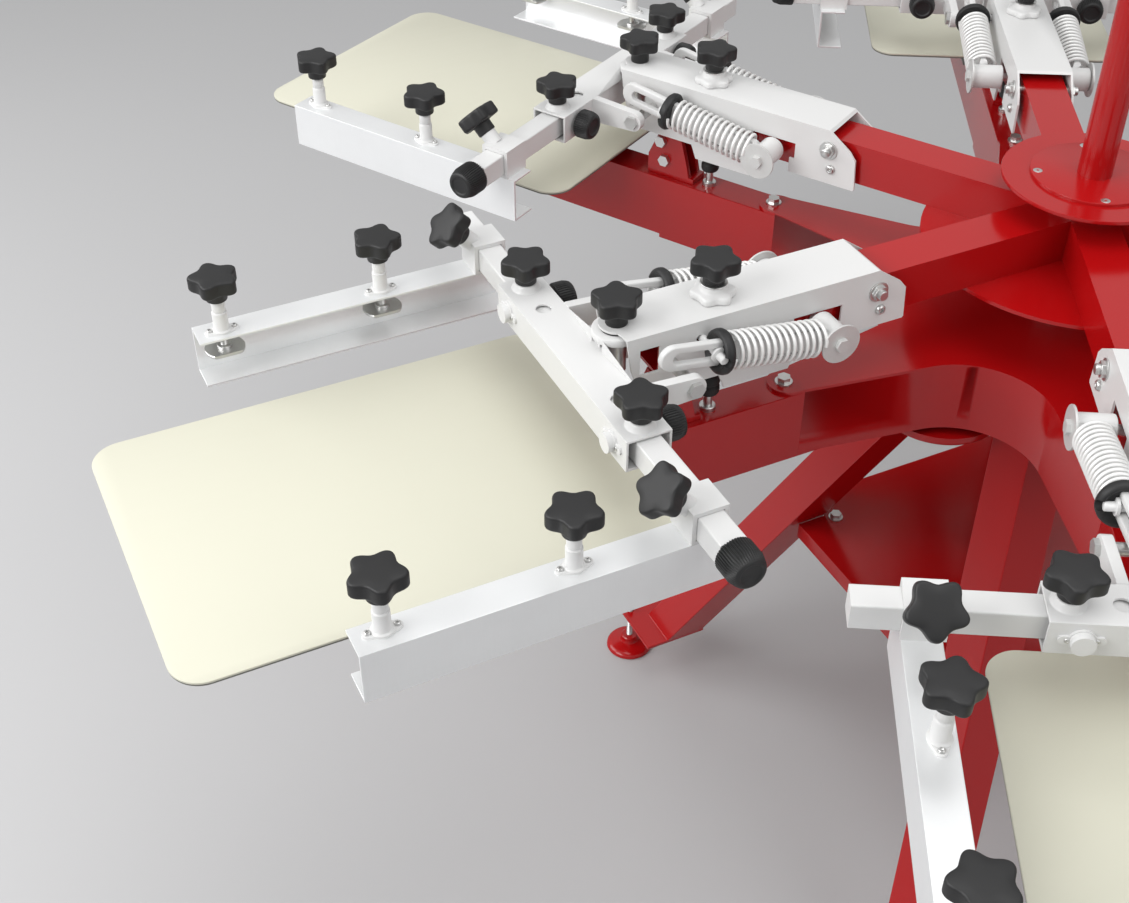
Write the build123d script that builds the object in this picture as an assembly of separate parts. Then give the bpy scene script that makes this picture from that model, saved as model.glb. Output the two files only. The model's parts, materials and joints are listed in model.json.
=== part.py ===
from build123d import *
import math
import os

# Six colour, six station carousel press for printing by hand, in millimetres.
# The origin is on the floor under the turning axis, +Z up, and head 1 points along +X.
# "reach" is a distance from the turning axis along one head, "side" is across it.

# ---- whole press ----
station_count = 6
print_height = 885.0
pallet_width = 400.0
pallet_length = 560.0
pallet_inner_reach = 672.0
pallet_thickness = 5.0
pallet_corner_radius = 36.0
main_head_turns = 14
side_head_turns = 7

# ---- clearances and fits ----
running_gap = 0.06
part_gap = 0.5
slide_gap = 0.8
swing_gap = 2.0

# ---- stand ----
leg_size = 70.0
leg_wall = 4.0
leg_drop_ratio = 2.5
shelf_half_side = 238.0
shelf_height = 396.0
shelf_thickness = 5.0
shelf_bolt_inset = 60.0
stand_top_half_side = 128.0
stand_top_thickness = 12.0
leg_corner_offset = 22.0
shelf_lip_height = 26.0
stand_flange_inset = 16.0
stand_flange_height = 10.0
carousel_gap = 24.0
leg_foot_height = 85.0
foot_plate_thickness = 6.0
foot_plate_overhang = 38.0
foot_stud_inset = 15.0
foot_radius = 39.0
foot_disc_height = 12.0
foot_hub_radius = 14.0
foot_hub_height = 14.0
foot_stud_radius = 5.0
foot_stud_rise = 16.0
foot_nut_radius = 9.0
foot_nut_height = 8.0
foot_edge_radius = 7.2
shaft_radius = 35.0
post_radius = 21.2
post_rise = 330.0
post_edge_radius = 6.0
index_reach = 177.0
index_radius = 84.0
index_height = 14.0
index_gap = 12.0
index_edge_radius = 7.0
index_wall = 8.0
index_foot_half = 30.0
index_knob_radius = 12.0
index_knob_height = 26.0
index_knob_shift = 38.0

# ---- pallet carousel ----
arm_drop = 30.0
lower_arm_width = 50.0
lower_arm_height = 95.0
lower_arm_reach = 1080.0
arm_flange_depth = 6.0
arm_flange_reach = 606.0
lower_hub_radius = 88.0
star_plate_thickness = 4.0
star_tip_reach = 452.0
star_waist_reach = 205.0
star_scallop_radius = 103.0
star_scallop_sweep = 48.0
star_flare_reach = 417.0
skirt_thickness = 4.0
carousel_bolt_reach = 432.0
carousel_bolt_radius = 7.0
gate_reach = 596.0
gate_length = 78.0
gate_height = 74.0
gate_slot = 17.0
gate_cheek = 8.0
gate_base_height = 8.0
gate_toe = 6.0
gate_rear_lean = 14.0
gate_rear_height = 34.0
gate_front_height = 30.0
gate_front_lean = 20.0
gate_top_length = 32.0
roller_radius = 11.0
roller_pin_radius = 5.0
roller_places = ((17.0, 56.0), (10.0, 27.0))
bumper_reach = 539.0
bumper_radius = 13.0
bumper_height = 30.0
bumper_stud_radius = 5.5
bumper_stud_height = 24.0
bumper_edge_radius = 3.0
pallet_bracket_width = 90.0
pallet_bracket_inset = 30.0
pallet_bracket_wall = 4.0

# ---- head carousel ----
upper_arm_width = 58.0
upper_arm_height = 56.0
upper_arm_rise = 61.0
upper_arm_reach = 625.0
upper_arm_wall = 4.0
arm_ring_radius = 199.0
arm_ring_thickness = 5.0
hub_tube_radius = 56.0
hub_disc_radius = 112.5
hub_disc_rise = 154.5
hub_disc_thickness = 5.0
hub_cap_radius = 78.0
hub_cap_thickness = 4.0
hub_screw_reach = 67.0
hub_screw_radius = 6.0
hub_screw_turn = 30.0
hub_screw_depth = 2.0
hub_socket_radius = 2.5
hub_socket_depth = 1.5

# ---- print head ----
cover_width = 78.0
cover_wall = 3.0
cover_rise = 131.6
cover_rear_depth = 78.0
cover_deep_depth = 103.6
cover_front_depth = 83.6
cover_deep_start = 448.0
cover_deep_end = 551.0
cover_step_run = 8.0
cover_rear_reach = 341.5
cover_ear_reach = 297.0
cover_front_reach = 672.0
cover_front_drop = 44.0
cover_front_lean = 7.0
cover_front_cut = 20.0
cover_edge_break = 2.0
ear_corners = ((12.0, 23.0), (3.0, 34.0))
nose_setback = 7.0
nose_radius = 26.0
nose_block_radius = 17.5
nose_block_height = 24.0
pivot_reach = 340.0
pivot_rise = 102.4
pivot_bolt_radius = 7.0
window_length = 25.0
window_height = 34.0
window_setback = 17.0
window_drop = 15.0
anchor_window_rear = 32.0
anchor_window_front = 34.0
anchor_window_below = 8.0
anchor_window_above = 15.0
anchor_mouth_rear = 24.5
anchor_mouth_front = 9.5

# ---- lift spring and its guide ----
anchor_reach = 421.3
anchor_rise = 82.9
anchor_pin_radius = 6.0
guide_slope = 9.0
guide_side = 68.5
guide_height = 32.0
guide_thickness = 9.0
guide_tip = 235.0
guide_slot_start = 152.0
guide_slot_end = 219.0
guide_slot_width = 13.5
bushing_radius = 24.0
bushing_inner_gap = 3.0
bushing_outer_half = 16.5
washer_radius = 25.0
washer_thickness = 3.0
cross_pin_radius = 4.75
cross_stud_inner = 31.5
link_stud_radius = 7.0
lock_screw_radius = 4.0
lock_screw_shift = 6.0
lock_screw_drop = 26.0
cross_pin_proud = 9.0
cross_pin_distance = 160.0
collar_radius = 27.0
collar_length = 20.0
collar_gap = 1.5
collar_edge = 2.0
spring_radius = 20.2
spring_wire = 4.4
spring_start = 26.5

# ---- screen carrier ----
sleeve_gap = 11.0
sleeve_width = 54.0
sleeve_height = 40.0
sleeve_wall = 3.0
sleeve_half_length = 165.0
sleeve_rise = 85.0
lug_thickness = 14.0
lug_boss_radius = 15.0
lug_boss_height = 22.0
seat_low_radius = 17.0
seat_high_radius = 13.0
seat_height = 8.0
top_hole_radius = 9.0
top_hole_inset = 49.0
link_side = 90.0
link_thickness = 12.0
link_height = 36.0
link_stud_setback = 56.0
link_stud_rise = 3.0
bar_size = 30.0
bar_half_length = 345.0
bar_edge_radius = 2.0
clamp_length = 43.0
clamp_wall = 5.0
clamp_side = 271.5
clamp_boss_radius = 11.0
clamp_boss_height = 9.0
clamp_boss_tilt = 45.0
holder_height = 62.5
holder_flange = 39.0
holder_wall = 3.0
holder_lift = 2.5
holder_setback = 31.0
holder_length = 397.0
holder_half_span = 292.0

# ---- knobs and screws ----
star_radius = 29.0
star_thickness = 16.0
star_boss_radius = 12.5
star_boss_height = 17.0
star_lobes = 5
star_bite_radius = 12.0
star_bite_depth = 8.0
stud_radius = 5.0
knurl_radius = 20.0
knurl_length = 24.0
knurl_gap = 4.0
knurl_edge = 1.5
bar_knob_radius = 23.5
bar_knob_length = 38.0
bar_knob_edge = 2.0
button_radius = 13.0
button_height = 10.0
button_side = 133.0
button_rim = 1.5
button_plate_thickness = 2.5
button_lug_radius = 5.0
button_lug_side = 17.0
sleeve_knob_side = 144.0
top_knob_reach = 542.5
front_knob_rise = 4.0
screw_insets = (168.5, 366.0)
screw_head_gap = 3.0
screw_boss_radius = 8.5
screw_boss_height = 42.0
screw_flange_radius = 12.0
screw_flange_thickness = 3.0
flange_end_side = 15.0
flange_end_radius = 5.5
flange_screw_radius = 3.5
flange_screw_height = 2.5
pad_radius = 24.0
pad_thickness = 4.0
pad_drop = 22.0
pad_hub_radius = 9.0
pad_hub_height = 4.0
lock_nut_radius = 20.0
lock_nut_height = 14.0
lock_nut_bites = 6
lock_nut_bite_reach = 27.0
lock_nut_bite_radius = 10.0
lock_collar_radius = 16.0
lock_collar_height = 5.0

# ---- nuts, bolt heads and washers ----
bolt_head_radius = 8.5
bolt_head_height = 6.5
bolt_washer_radius = 11.0
bolt_washer_thickness = 2.0
small_nut_radius = 9.0
small_nut_height = 5.0
large_nut_radius = 10.0
large_nut_height = 6.0
pivot_washer_radius = 13.0
screw_head_margin = 2.5
inner_nut_margin = 3.0

# ---- sizes worked out from the ones above ----
step_angle = 360.0 / station_count
pallet_outer_reach = pallet_inner_reach + pallet_length
arm_top = print_height - arm_drop
arm_bottom = arm_top - lower_arm_height
upper_bottom = print_height + upper_arm_rise
upper_top = upper_bottom + upper_arm_height
cover_top = print_height + cover_rise
cover_bottom = cover_top - cover_rear_depth
pivot_height = print_height + pivot_rise
anchor_height = print_height + anchor_rise
hub_disc_top = print_height + hub_disc_rise
nose_reach = cover_front_reach - nose_setback
nose_block_bottom = cover_top - cover_wall - nose_block_height
sleeve_reach = cover_front_reach + sleeve_gap + sleeve_width / 2
sleeve_height_mid = print_height + sleeve_rise
sleeve_top = sleeve_height_mid + sleeve_height / 2
sleeve_back = sleeve_reach - sleeve_width / 2
sleeve_front = sleeve_reach + sleeve_width / 2
holder_bottom = print_height + holder_lift
holder_top = holder_bottom + holder_height
holder_inner_side = holder_half_span - holder_flange
holder_inner_reach = sleeve_reach - holder_setback
holder_outer_reach = holder_inner_reach + holder_length
screw_reaches = [holder_inner_reach + inset for inset in screw_insets]
screw_boss_top = holder_top + screw_boss_height
screw_side = holder_half_span - holder_flange / 2 - holder_wall
spring_end = cross_pin_distance - cross_pin_radius - collar_gap - collar_length
bushing_end = guide_side + bushing_outer_half
stand_top_height = arm_bottom - carousel_gap
index_top = arm_bottom - index_gap
leg_top = stand_top_height - stand_top_thickness


# ---- basic solids, given by their limits ----
def box(x0, x1, y0, y1, z0, z1):
    middle = ((x0 + x1) / 2, (y0 + y1) / 2, (z0 + z1) / 2)
    return Pos(*middle) * Box(x1 - x0, y1 - y0, z1 - z0)


def rod_x(radius, x0, x1, y, z):
    return Pos((x0 + x1) / 2, y, z) * Rot(0, 90, 0) * Cylinder(radius, x1 - x0)


def rod_y(radius, y0, y1, x, z):
    return Pos(x, (y0 + y1) / 2, z) * Rot(90, 0, 0) * Cylinder(radius, y1 - y0)


def rod_z(radius, z0, z1, x=0.0, y=0.0):
    return Pos(x, y, (z0 + z1) / 2) * Cylinder(radius, z1 - z0)


def hexagon_z(radius, z0, z1, x=0.0, y=0.0):
    return Pos(x, y, z0) * extrude(RegularPolygon(radius, 6), z1 - z0)


def hexagon_y(radius, y0, y1, x, z):
    return Pos(x, y1, z) * Rot(90, 0, 0) * extrude(RegularPolygon(radius, 6), y1 - y0)


def side_plate(outline, y0, y1):
    """A plate that stands on edge: the outline is (x, z) points, y0 to y1 its thickness."""
    face = make_face(Polyline(*outline, close=True))
    return Pos(0, y1, 0) * Rot(90, 0, 0) * extrude(face, y1 - y0)


def at_station(number, solid):
    return Rot(0, 0, step_angle * (number - 1)) * solid


def around(solid):
    """The same solid at every station."""
    return [at_station(number, solid) for number in range(1, station_count + 1)]


def at_quarters(solid):
    return [Rot(0, 0, 90.0 * quarter) * solid for quarter in range(4)]


def on_both_sides(solid):
    return [solid, mirror(solid, Plane.XZ)]


# ---- stand ----
def leg_corner(height):
    """How far the outer corner of a leg is from the centre, along X and along Y."""
    return shelf_half_side + leg_corner_offset + (shelf_height - height) / leg_drop_ratio


def leg_section(height, side):
    middle = leg_corner(height) - leg_size / 2
    return Pos(middle, middle, height) * Rectangle(side, side)


def foot_place():
    middle = leg_corner(leg_foot_height) + foot_plate_overhang - foot_stud_inset
    return middle, middle


def leg():
    """A square tube that leans out along the diagonal, welded to its foot plate."""
    bore = leg_size - 2 * leg_wall
    outer = loft([leg_section(leg_foot_height, leg_size), leg_section(leg_top, leg_size)])
    inner = loft([leg_section(leg_foot_height, bore), leg_section(leg_top, bore)])
    low = leg_corner(leg_foot_height) - leg_size
    high = leg_corner(leg_foot_height) + foot_plate_overhang
    plate = box(low, high, low, high, leg_foot_height - foot_plate_thickness, leg_foot_height)
    hole = rod_z(foot_stud_radius, 0, leg_foot_height + 1, *foot_place())
    return outer - inner + plate - hole


def legs():
    return at_quarters(leg())


def leveling_feet():
    """Round feet on studs through the foot plates, with a nut under each plate."""
    disc = rod_z(foot_radius, 0, foot_disc_height)
    disc = fillet(disc.edges().group_by(Axis.Z)[-1], foot_edge_radius)
    hub_top = foot_disc_height + foot_hub_height
    hub = rod_z(foot_hub_radius, foot_disc_height, hub_top)
    stud = rod_z(foot_stud_radius, hub_top, leg_foot_height + foot_stud_rise)
    plate_bottom = leg_foot_height - foot_plate_thickness
    nut = hexagon_z(foot_nut_radius, plate_bottom - foot_nut_height, plate_bottom)
    return at_quarters(Pos(*foot_place(), 0) * (disc + hub + stud + nut))


def stand_top():
    side = 2 * stand_top_half_side
    plate = Pos(0, 0, stand_top_height - stand_top_thickness / 2) * Box(side, side, stand_top_thickness)
    flange_top = stand_top_height + stand_flange_height
    flange = rod_z(stand_top_half_side - stand_flange_inset, stand_top_height, flange_top)
    bore = rod_z(shaft_radius, leg_top, flange_top)
    return plate + flange - bore


def shelf_plate():
    side = 2 * shelf_half_side
    plate = Pos(0, 0, shelf_height - shelf_thickness / 2) * Box(side, side, shelf_thickness)
    lip_place = Pos(0, 0, shelf_height - shelf_lip_height / 2)
    lip_bore = side - 2 * shelf_thickness
    lip = lip_place * Box(side, side, shelf_lip_height)
    lip = lip - lip_place * Box(lip_bore, lip_bore, shelf_lip_height)
    notch_inner = leg_corner(shelf_height) - leg_size - part_gap
    notch_outer = leg_corner(shelf_height - shelf_lip_height) + part_gap
    notch = box(notch_inner, notch_outer, notch_inner, notch_outer, 0, 2 * shelf_height)
    body = plate + lip
    for solid in at_quarters(notch):
        body = body - solid
    return body


def shelf_bolts():
    place = shelf_half_side - shelf_bolt_inset
    return at_quarters(Pos(place, place, 0) * bolt_head(shelf_height))


def bolt_head(bottom):
    """A hexagon head on a flat washer."""
    washer_top = bottom + bolt_washer_thickness
    washer = rod_z(bolt_washer_radius, bottom, washer_top)
    return washer + hexagon_z(bolt_head_radius, washer_top, washer_top + bolt_head_height)


def centre_shaft():
    """The fixed column: it stands on the shelf, and both carousels turn on it."""
    return rod_z(shaft_radius, shelf_height, hub_disc_top - hub_disc_thickness)


def centre_post():
    bottom = hub_disc_top - hub_disc_thickness
    tube = rod_z(post_radius, bottom, hub_disc_top + post_rise)
    cap_edge = tube.edges().group_by(Axis.Z)[-1]
    return fillet(cap_edge, post_edge_radius)


def index_unit():
    """The round housing under the carousel that holds the detent, with its release knob."""
    bottom = index_top - index_height
    housing = rod_z(index_radius, bottom, index_top, index_reach, 0)
    housing = fillet(housing.edges().group_by(Axis.Z)[0], index_edge_radius)
    housing = housing - box(0, stand_top_half_side, -index_radius, index_radius, bottom, index_top)
    edge = stand_top_half_side
    foot = box(edge, edge + index_wall, -index_foot_half, index_foot_half, leg_top, bottom)
    knob_x = index_reach + index_knob_shift
    knob = rod_z(index_knob_radius, bottom - index_knob_height, bottom, knob_x, -index_knob_shift)
    return housing + foot + knob


# ---- pallet carousel ----
def scallop_outline():
    """The edge between two arms, on their bisector: an arc, then lines out along the arms."""
    half_step = math.radians(step_angle / 2)
    half_width = lower_arm_width / 2
    arc_middle = star_waist_reach + star_scallop_radius
    sweep = math.radians(star_scallop_sweep)
    arc_x = arc_middle - star_scallop_radius * math.cos(sweep)
    arc_y = star_scallop_radius * math.sin(sweep)
    flare_x = star_flare_reach * math.cos(half_step) + half_width * math.sin(half_step)
    flare_y = star_flare_reach * math.sin(half_step) - half_width * math.cos(half_step)
    far_x = 2 * star_tip_reach
    far_y = flare_y + (far_x - flare_x) * math.tan(half_step)
    arc = ThreePointArc((arc_x, -arc_y), (star_waist_reach, 0), (arc_x, arc_y))
    sides = Polyline((arc_x, arc_y), (flare_x, flare_y), (far_x, far_y),
                     (far_x, -far_y), (flare_x, -flare_y), (arc_x, -arc_y))
    return make_face([arc, sides])


def scallops(face, bottom, top):
    cutter = Pos(0, 0, bottom) * extrude(face, top - bottom)
    return [Rot(0, 0, step_angle / 2) * solid for solid in around(cutter)]


def star_plate():
    """The plate on top of the arms, round tongues along them, and walls down its scallops."""
    top = arm_top + star_plate_thickness
    outline = scallop_outline()
    body = rod_z(star_flare_reach, arm_top, top)
    for solid in scallops(outline, arm_top, top):
        body = body - solid
    half_width = lower_arm_width / 2
    tongue_middle = star_tip_reach - half_width
    tongue = box(star_waist_reach, tongue_middle, -half_width, half_width, arm_top, top)
    tongue = tongue + rod_z(half_width, arm_top, top, tongue_middle, 0)
    tongue = tongue - rod_z(carousel_bolt_radius, arm_top, top, carousel_bolt_reach, 0)
    for solid in around(tongue):
        body = body + solid
    body = body - rod_z(shaft_radius + slide_gap, arm_top, top)
    return [body] + star_skirts(outline)


def star_skirts(outline):
    """One curved wall under each scallop, from the side of one arm to the next."""
    grown = offset(outline, skirt_thickness)
    arm = box(0, lower_arm_reach, -lower_arm_width / 2, lower_arm_width / 2, arm_bottom, arm_top)
    arms = around(arm)
    limit = rod_z(star_flare_reach, arm_bottom, arm_top)
    walls = []
    for outer, inner in zip(scallops(grown, arm_bottom, arm_top), scallops(outline, arm_bottom, arm_top)):
        wall = (outer - inner) & limit
        for solid in arms:
            wall = wall - solid
        walls.append(wall)
    return walls


def lower_arms():
    """Folded box arms, one at each station, from the hub to under the pallets."""
    half_width = lower_arm_width / 2
    wall = skirt_thickness
    arm = box(0, lower_arm_reach, -half_width, half_width, arm_bottom, arm_top)
    inside = half_width - wall
    bore = box(0, lower_arm_reach, -inside, inside, arm_bottom, arm_top - wall)
    flange_bottom = arm_bottom - arm_flange_depth
    for near, far in ((-half_width, -inside), (inside, half_width)):
        arm = arm + box(0, arm_flange_reach, near, far, flange_bottom, arm_bottom)
    arm = arm - bore - rod_z(lower_hub_radius, flange_bottom, arm_top)
    return around(arm)


def lower_hub():
    bottom = stand_top_height + stand_flange_height + part_gap
    tube = rod_z(lower_hub_radius, bottom, arm_top)
    bore = rod_z(shaft_radius + running_gap, bottom, arm_top)
    return tube - bore


def carousel_bolts():
    top = arm_top + star_plate_thickness
    shank = rod_z(carousel_bolt_radius, arm_top, top)
    return around(Pos(carousel_bolt_reach, 0, 0) * (bolt_head(top) + shank))


def registration_gate():
    """A fork on the arm that lines the pallet up under the head."""
    inner = gate_reach - gate_length / 2
    outer = gate_reach + gate_length / 2
    half_width = gate_slot / 2 + gate_cheek
    base = box(inner, outer, -half_width, half_width, arm_top, arm_top + gate_base_height)
    top_front = outer - gate_front_lean
    cheek_outline = [
        (inner + gate_toe, arm_top),
        (outer, arm_top),
        (outer, arm_top + gate_front_height),
        (top_front, arm_top + gate_height),
        (top_front - gate_top_length, arm_top + gate_height),
        (inner + gate_rear_lean, arm_top + gate_rear_height),
    ]
    cheeks = side_plate(cheek_outline, gate_slot / 2, half_width)
    gate = base + cheeks + side_plate(cheek_outline, -half_width, -gate_slot / 2)
    for shift, rise in roller_places:
        gate = gate - rod_y(roller_pin_radius, -half_width, half_width, gate_reach + shift, arm_top + rise)
    return gate


def gate_rollers():
    """Each roller turns on a pin through both cheeks, with a hexagon head outside."""
    half_width = gate_slot / 2 + gate_cheek
    roller_half = gate_slot / 2 - part_gap
    rollers = []
    for shift, rise in roller_places:
        x = gate_reach + shift
        z = arm_top + rise
        roller = rod_y(roller_radius, -roller_half, roller_half, x, z)
        pin = rod_y(roller_pin_radius, -half_width, half_width, x, z)
        head = hexagon_y(small_nut_radius, half_width, half_width + bolt_head_height, x, z)
        rollers += around(roller + pin + head)
    return rollers


def stop_bumpers():
    """A steel stud on each arm that carries a rubber buffer."""
    stud_top = arm_top + bumper_stud_height
    stud = rod_z(bumper_stud_radius, arm_top + star_plate_thickness, stud_top, bumper_reach, 0)
    nut = hexagon_z(large_nut_radius, arm_top, arm_top + large_nut_height, bumper_reach, 0)
    rubber = rod_z(bumper_radius, stud_top, stud_top + bumper_height, bumper_reach, 0)
    rubber = fillet(rubber.edges().group_by(Axis.Z)[-1], bumper_edge_radius)
    return around(nut + stud + rubber)


def pallet():
    blank = Rectangle(pallet_length, pallet_width)
    blank = fillet(blank.vertices(), pallet_corner_radius)
    middle = (pallet_inner_reach + pallet_outer_reach) / 2
    return Pos(middle, 0, print_height - pallet_thickness) * extrude(blank, pallet_thickness)


def pallet_bracket():
    """The folded rail that carries a pallet on its arm."""
    inner = pallet_inner_reach + pallet_bracket_inset
    top = print_height - pallet_thickness
    half_width = pallet_bracket_width / 2
    inside = half_width - pallet_bracket_wall
    rail = box(inner, lower_arm_reach, -half_width, half_width, arm_top, top)
    hollow = box(inner, lower_arm_reach, -inside, inside, arm_top + pallet_bracket_wall,
                 top - pallet_bracket_wall)
    return rail - hollow


# ---- head carousel ----
def upper_arms():
    """Six square tube arms round the hub tube, on a round plate."""
    half_width = upper_arm_width / 2
    plate_bottom = upper_bottom - arm_ring_thickness
    tube_top = hub_disc_top - hub_disc_thickness
    bore = rod_z(shaft_radius + running_gap, plate_bottom, tube_top)
    tube = rod_z(hub_tube_radius, upper_bottom, tube_top) - bore
    plate = rod_z(arm_ring_radius, plate_bottom, upper_bottom) - bore
    arm = box(0, upper_arm_reach, -half_width, half_width, upper_bottom, upper_top)
    arm = arm - rod_z(hub_tube_radius, upper_bottom, upper_top)
    inside = half_width - upper_arm_wall
    arm = arm - box(arm_ring_radius, upper_arm_reach, -inside, inside,
                    upper_bottom + upper_arm_wall, upper_top - upper_arm_wall)
    pivot = rod_y(pivot_bolt_radius + running_gap, -half_width, half_width, pivot_reach, pivot_height)
    anchor = rod_y(anchor_pin_radius, -half_width, half_width, anchor_reach, anchor_height)
    return [tube, plate] + around(arm - pivot - anchor)


def hub_disc():
    disc = rod_z(hub_disc_radius, hub_disc_top - hub_disc_thickness, hub_disc_top)
    return disc - rod_z(post_radius + slide_gap, hub_disc_top - hub_disc_thickness, hub_disc_top)


def hub_cap():
    """The raised inner disc with four countersunk screws."""
    top = hub_disc_top + hub_cap_thickness
    disc = rod_z(hub_cap_radius, hub_disc_top, top)
    disc = disc - rod_z(post_radius + slide_gap, hub_disc_top, top)
    screws = []
    for quarter in range(4):
        place = Rot(0, 0, hub_screw_turn + 90.0 * quarter) * Pos(hub_screw_reach, 0, 0)
        head = rod_z(hub_screw_radius, top - hub_screw_depth, top)
        disc = disc - place * head
        screws.append(place * (head - hexagon_z(hub_socket_radius, top - hub_socket_depth, top)))
    return [disc] + screws


def spring_anchors():
    """The pins through the arms that hold the rear of the lift springs, with their washers."""
    end = bushing_end + part_gap
    outer = end + washer_thickness
    pin = rod_y(anchor_pin_radius, -end, end, anchor_reach, anchor_height)
    washer = rod_y(washer_radius, end, outer, anchor_reach, anchor_height)
    nut = hexagon_y(small_nut_radius, outer, outer + small_nut_height, anchor_reach, anchor_height)
    for solid in on_both_sides(washer + nut):
        pin = pin + solid
    return around(pin)


# ---- print head: cover ----
def cover():
    """A folded channel, open below, that lifts about the pivot bolt at its rear."""
    half = cover_width / 2
    side = [(cover_rear_reach, cover_top)]
    side += [(cover_ear_reach + shift, cover_top - drop) for shift, drop in ear_corners]
    side += [
        (cover_ear_reach, cover_bottom + cover_edge_break),
        (cover_ear_reach + cover_edge_break, cover_bottom),
        (cover_deep_start, cover_bottom),
        (cover_deep_start + cover_step_run, cover_top - cover_deep_depth),
        (cover_deep_end - cover_step_run, cover_top - cover_deep_depth),
        (cover_deep_end, cover_top - cover_front_depth),
        (cover_front_reach - cover_front_cut, cover_top - cover_front_depth),
        (cover_front_reach - cover_front_lean, cover_top - cover_front_drop),
        (cover_front_reach, cover_top),
    ]
    body = side_plate(side, -half, half)
    inside = box(cover_ear_reach - 1, cover_front_reach + 1, -half + cover_wall, half - cover_wall,
                 cover_top - cover_deep_depth - 1, cover_top - cover_wall)
    body = body - inside
    nose = rod_z(nose_radius, cover_top - cover_wall, cover_top, nose_reach, 0)
    block = rod_z(nose_block_radius, nose_block_bottom, cover_top - cover_wall, nose_reach, 0)
    stud_bore = rod_z(stud_radius + running_gap, nose_block_bottom, cover_top, nose_reach, 0)
    body = body + nose + block - stud_bore
    body = body - rod_z(stud_radius + running_gap, cover_top - cover_wall, cover_top, top_knob_reach, 0)
    body = body - anchor_window(half) - front_window(half) - cover_bores(half)
    return body


def anchor_window(half):
    """The opening that the anchor pin leaves through as the cover lifts."""
    rear = anchor_reach - anchor_window_rear
    front = anchor_reach + anchor_window_front
    window = box(rear, front, -half - 1, half + 1,
                 anchor_height - anchor_window_below, anchor_height + anchor_window_above)
    mouth = box(anchor_reach - anchor_mouth_rear, anchor_reach + anchor_mouth_front, -half - 1, half + 1,
                cover_bottom - 1, anchor_height)
    return window + mouth


def front_window(half):
    front = cover_front_reach - window_setback
    bottom = cover_top - cover_wall - window_drop - window_height
    return box(front - window_length, front, -half - 1, half + 1, bottom, bottom + window_height)


def cover_bores(half):
    bore = rod_y(pivot_bolt_radius, -half - 1, half + 1, pivot_reach, pivot_height)
    bore = bore + rod_y(cross_pin_radius, -half - 1, half + 1, *cross_pin_place())
    bore = bore + rod_y(lock_screw_radius, -half - 1, half + 1, *lock_screw_place())
    return bore + rod_y(link_stud_radius, -half - 1, half + 1, *link_stud_place())


def cross_pin_place():
    slope = math.radians(guide_slope)
    x = anchor_reach + cross_pin_distance * math.cos(slope)
    z = anchor_height + cross_pin_distance * math.sin(slope)
    return x, z


def link_stud_place():
    return cover_front_reach - link_stud_setback, sleeve_height_mid + link_stud_rise


def lock_screw_place():
    return pivot_reach - lock_screw_shift, pivot_height - lock_screw_drop


def side_stud(inner, outer, radius, place):
    """A stud out of each side wall of the cover, with a nut inside the wall."""
    wall = cover_width / 2 - cover_wall
    return rod_y(radius, inner, outer, *place) + rod_y(radius + inner_nut_margin, inner, wall, *place)


def cover_fittings():
    """Pivot bolt, lock screws, cross pins, link studs and lock nut: all fixed to the cover."""
    half = cover_width / 2
    pivot = (pivot_reach, pivot_height)
    bolt = rod_y(pivot_bolt_radius, -half, half, *pivot)
    washer_end = half + bolt_washer_thickness
    end = rod_y(pivot_washer_radius, half, washer_end, *pivot)
    end = end + hexagon_y(large_nut_radius, washer_end, washer_end + small_nut_height, *pivot)
    for solid in on_both_sides(end):
        bolt = bolt + solid
    screw = rod_y(lock_screw_radius, half - cover_wall, half, *lock_screw_place())
    head_radius = lock_screw_radius + screw_head_margin
    screw = screw + rod_y(head_radius, half, half + small_nut_height, *lock_screw_place())
    pin_end = guide_side + guide_thickness / 2 + cross_pin_proud
    pin = side_stud(cross_stud_inner, pin_end, cross_pin_radius, cross_pin_place())
    stud_end = link_side + link_thickness / 2
    stud = side_stud(cross_stud_inner, stud_end, link_stud_radius, link_stud_place())
    stud = stud + hexagon_y(large_nut_radius, stud_end, stud_end + large_nut_height, *link_stud_place())
    fittings = [bolt, lock_nut()]
    for solid in (screw, pin, stud):
        fittings += on_both_sides(solid)
    return fittings


def lock_nut():
    """The lobed white nut under the top knob."""
    body_top = cover_top + lock_nut_height
    collar_top = body_top + lock_collar_height
    body = rod_z(lock_nut_radius, cover_top, body_top)
    for lobe in range(lock_nut_bites):
        turn = Rot(0, 0, 360.0 / lock_nut_bites * (lobe + 0.5))
        body = body - turn * rod_z(lock_nut_bite_radius, cover_top, body_top, lock_nut_bite_reach, 0)
    nut = body + rod_z(lock_collar_radius, body_top, collar_top)
    nut = nut - rod_z(stud_radius + running_gap, cover_top, collar_top)
    return Pos(top_knob_reach, 0, 0) * nut


# ---- print head: guides and springs, drawn at the anchor with the rod along X ----
def guide_place():
    return Pos(anchor_reach, 0, anchor_height) * Rot(0, -guide_slope, 0)


def guide():
    """A flat bar with a bushing at the anchor and a long slot for the cross pin."""
    low = guide_side - guide_thickness / 2
    high = guide_side + guide_thickness / 2
    half = guide_height / 2
    bar = box(0, guide_tip - half, low, high, -half, half)
    bar = bar + rod_y(half, low, high, guide_tip - half, 0)
    slot_half = guide_slot_width / 2
    slot = box(guide_slot_start, guide_slot_end - slot_half, low, high, -slot_half, slot_half)
    slot = slot + rod_y(slot_half, low, high, guide_slot_end - slot_half, 0)
    bushing = rod_y(bushing_radius, cover_width / 2 + bushing_inner_gap, bushing_end, 0, 0)
    bore = rod_y(anchor_pin_radius + running_gap, 0, bushing_end, 0, 0)
    return bar - slot + bushing - bore


def guides():
    return [guide_place() * solid for solid in on_both_sides(guide())]


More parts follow.
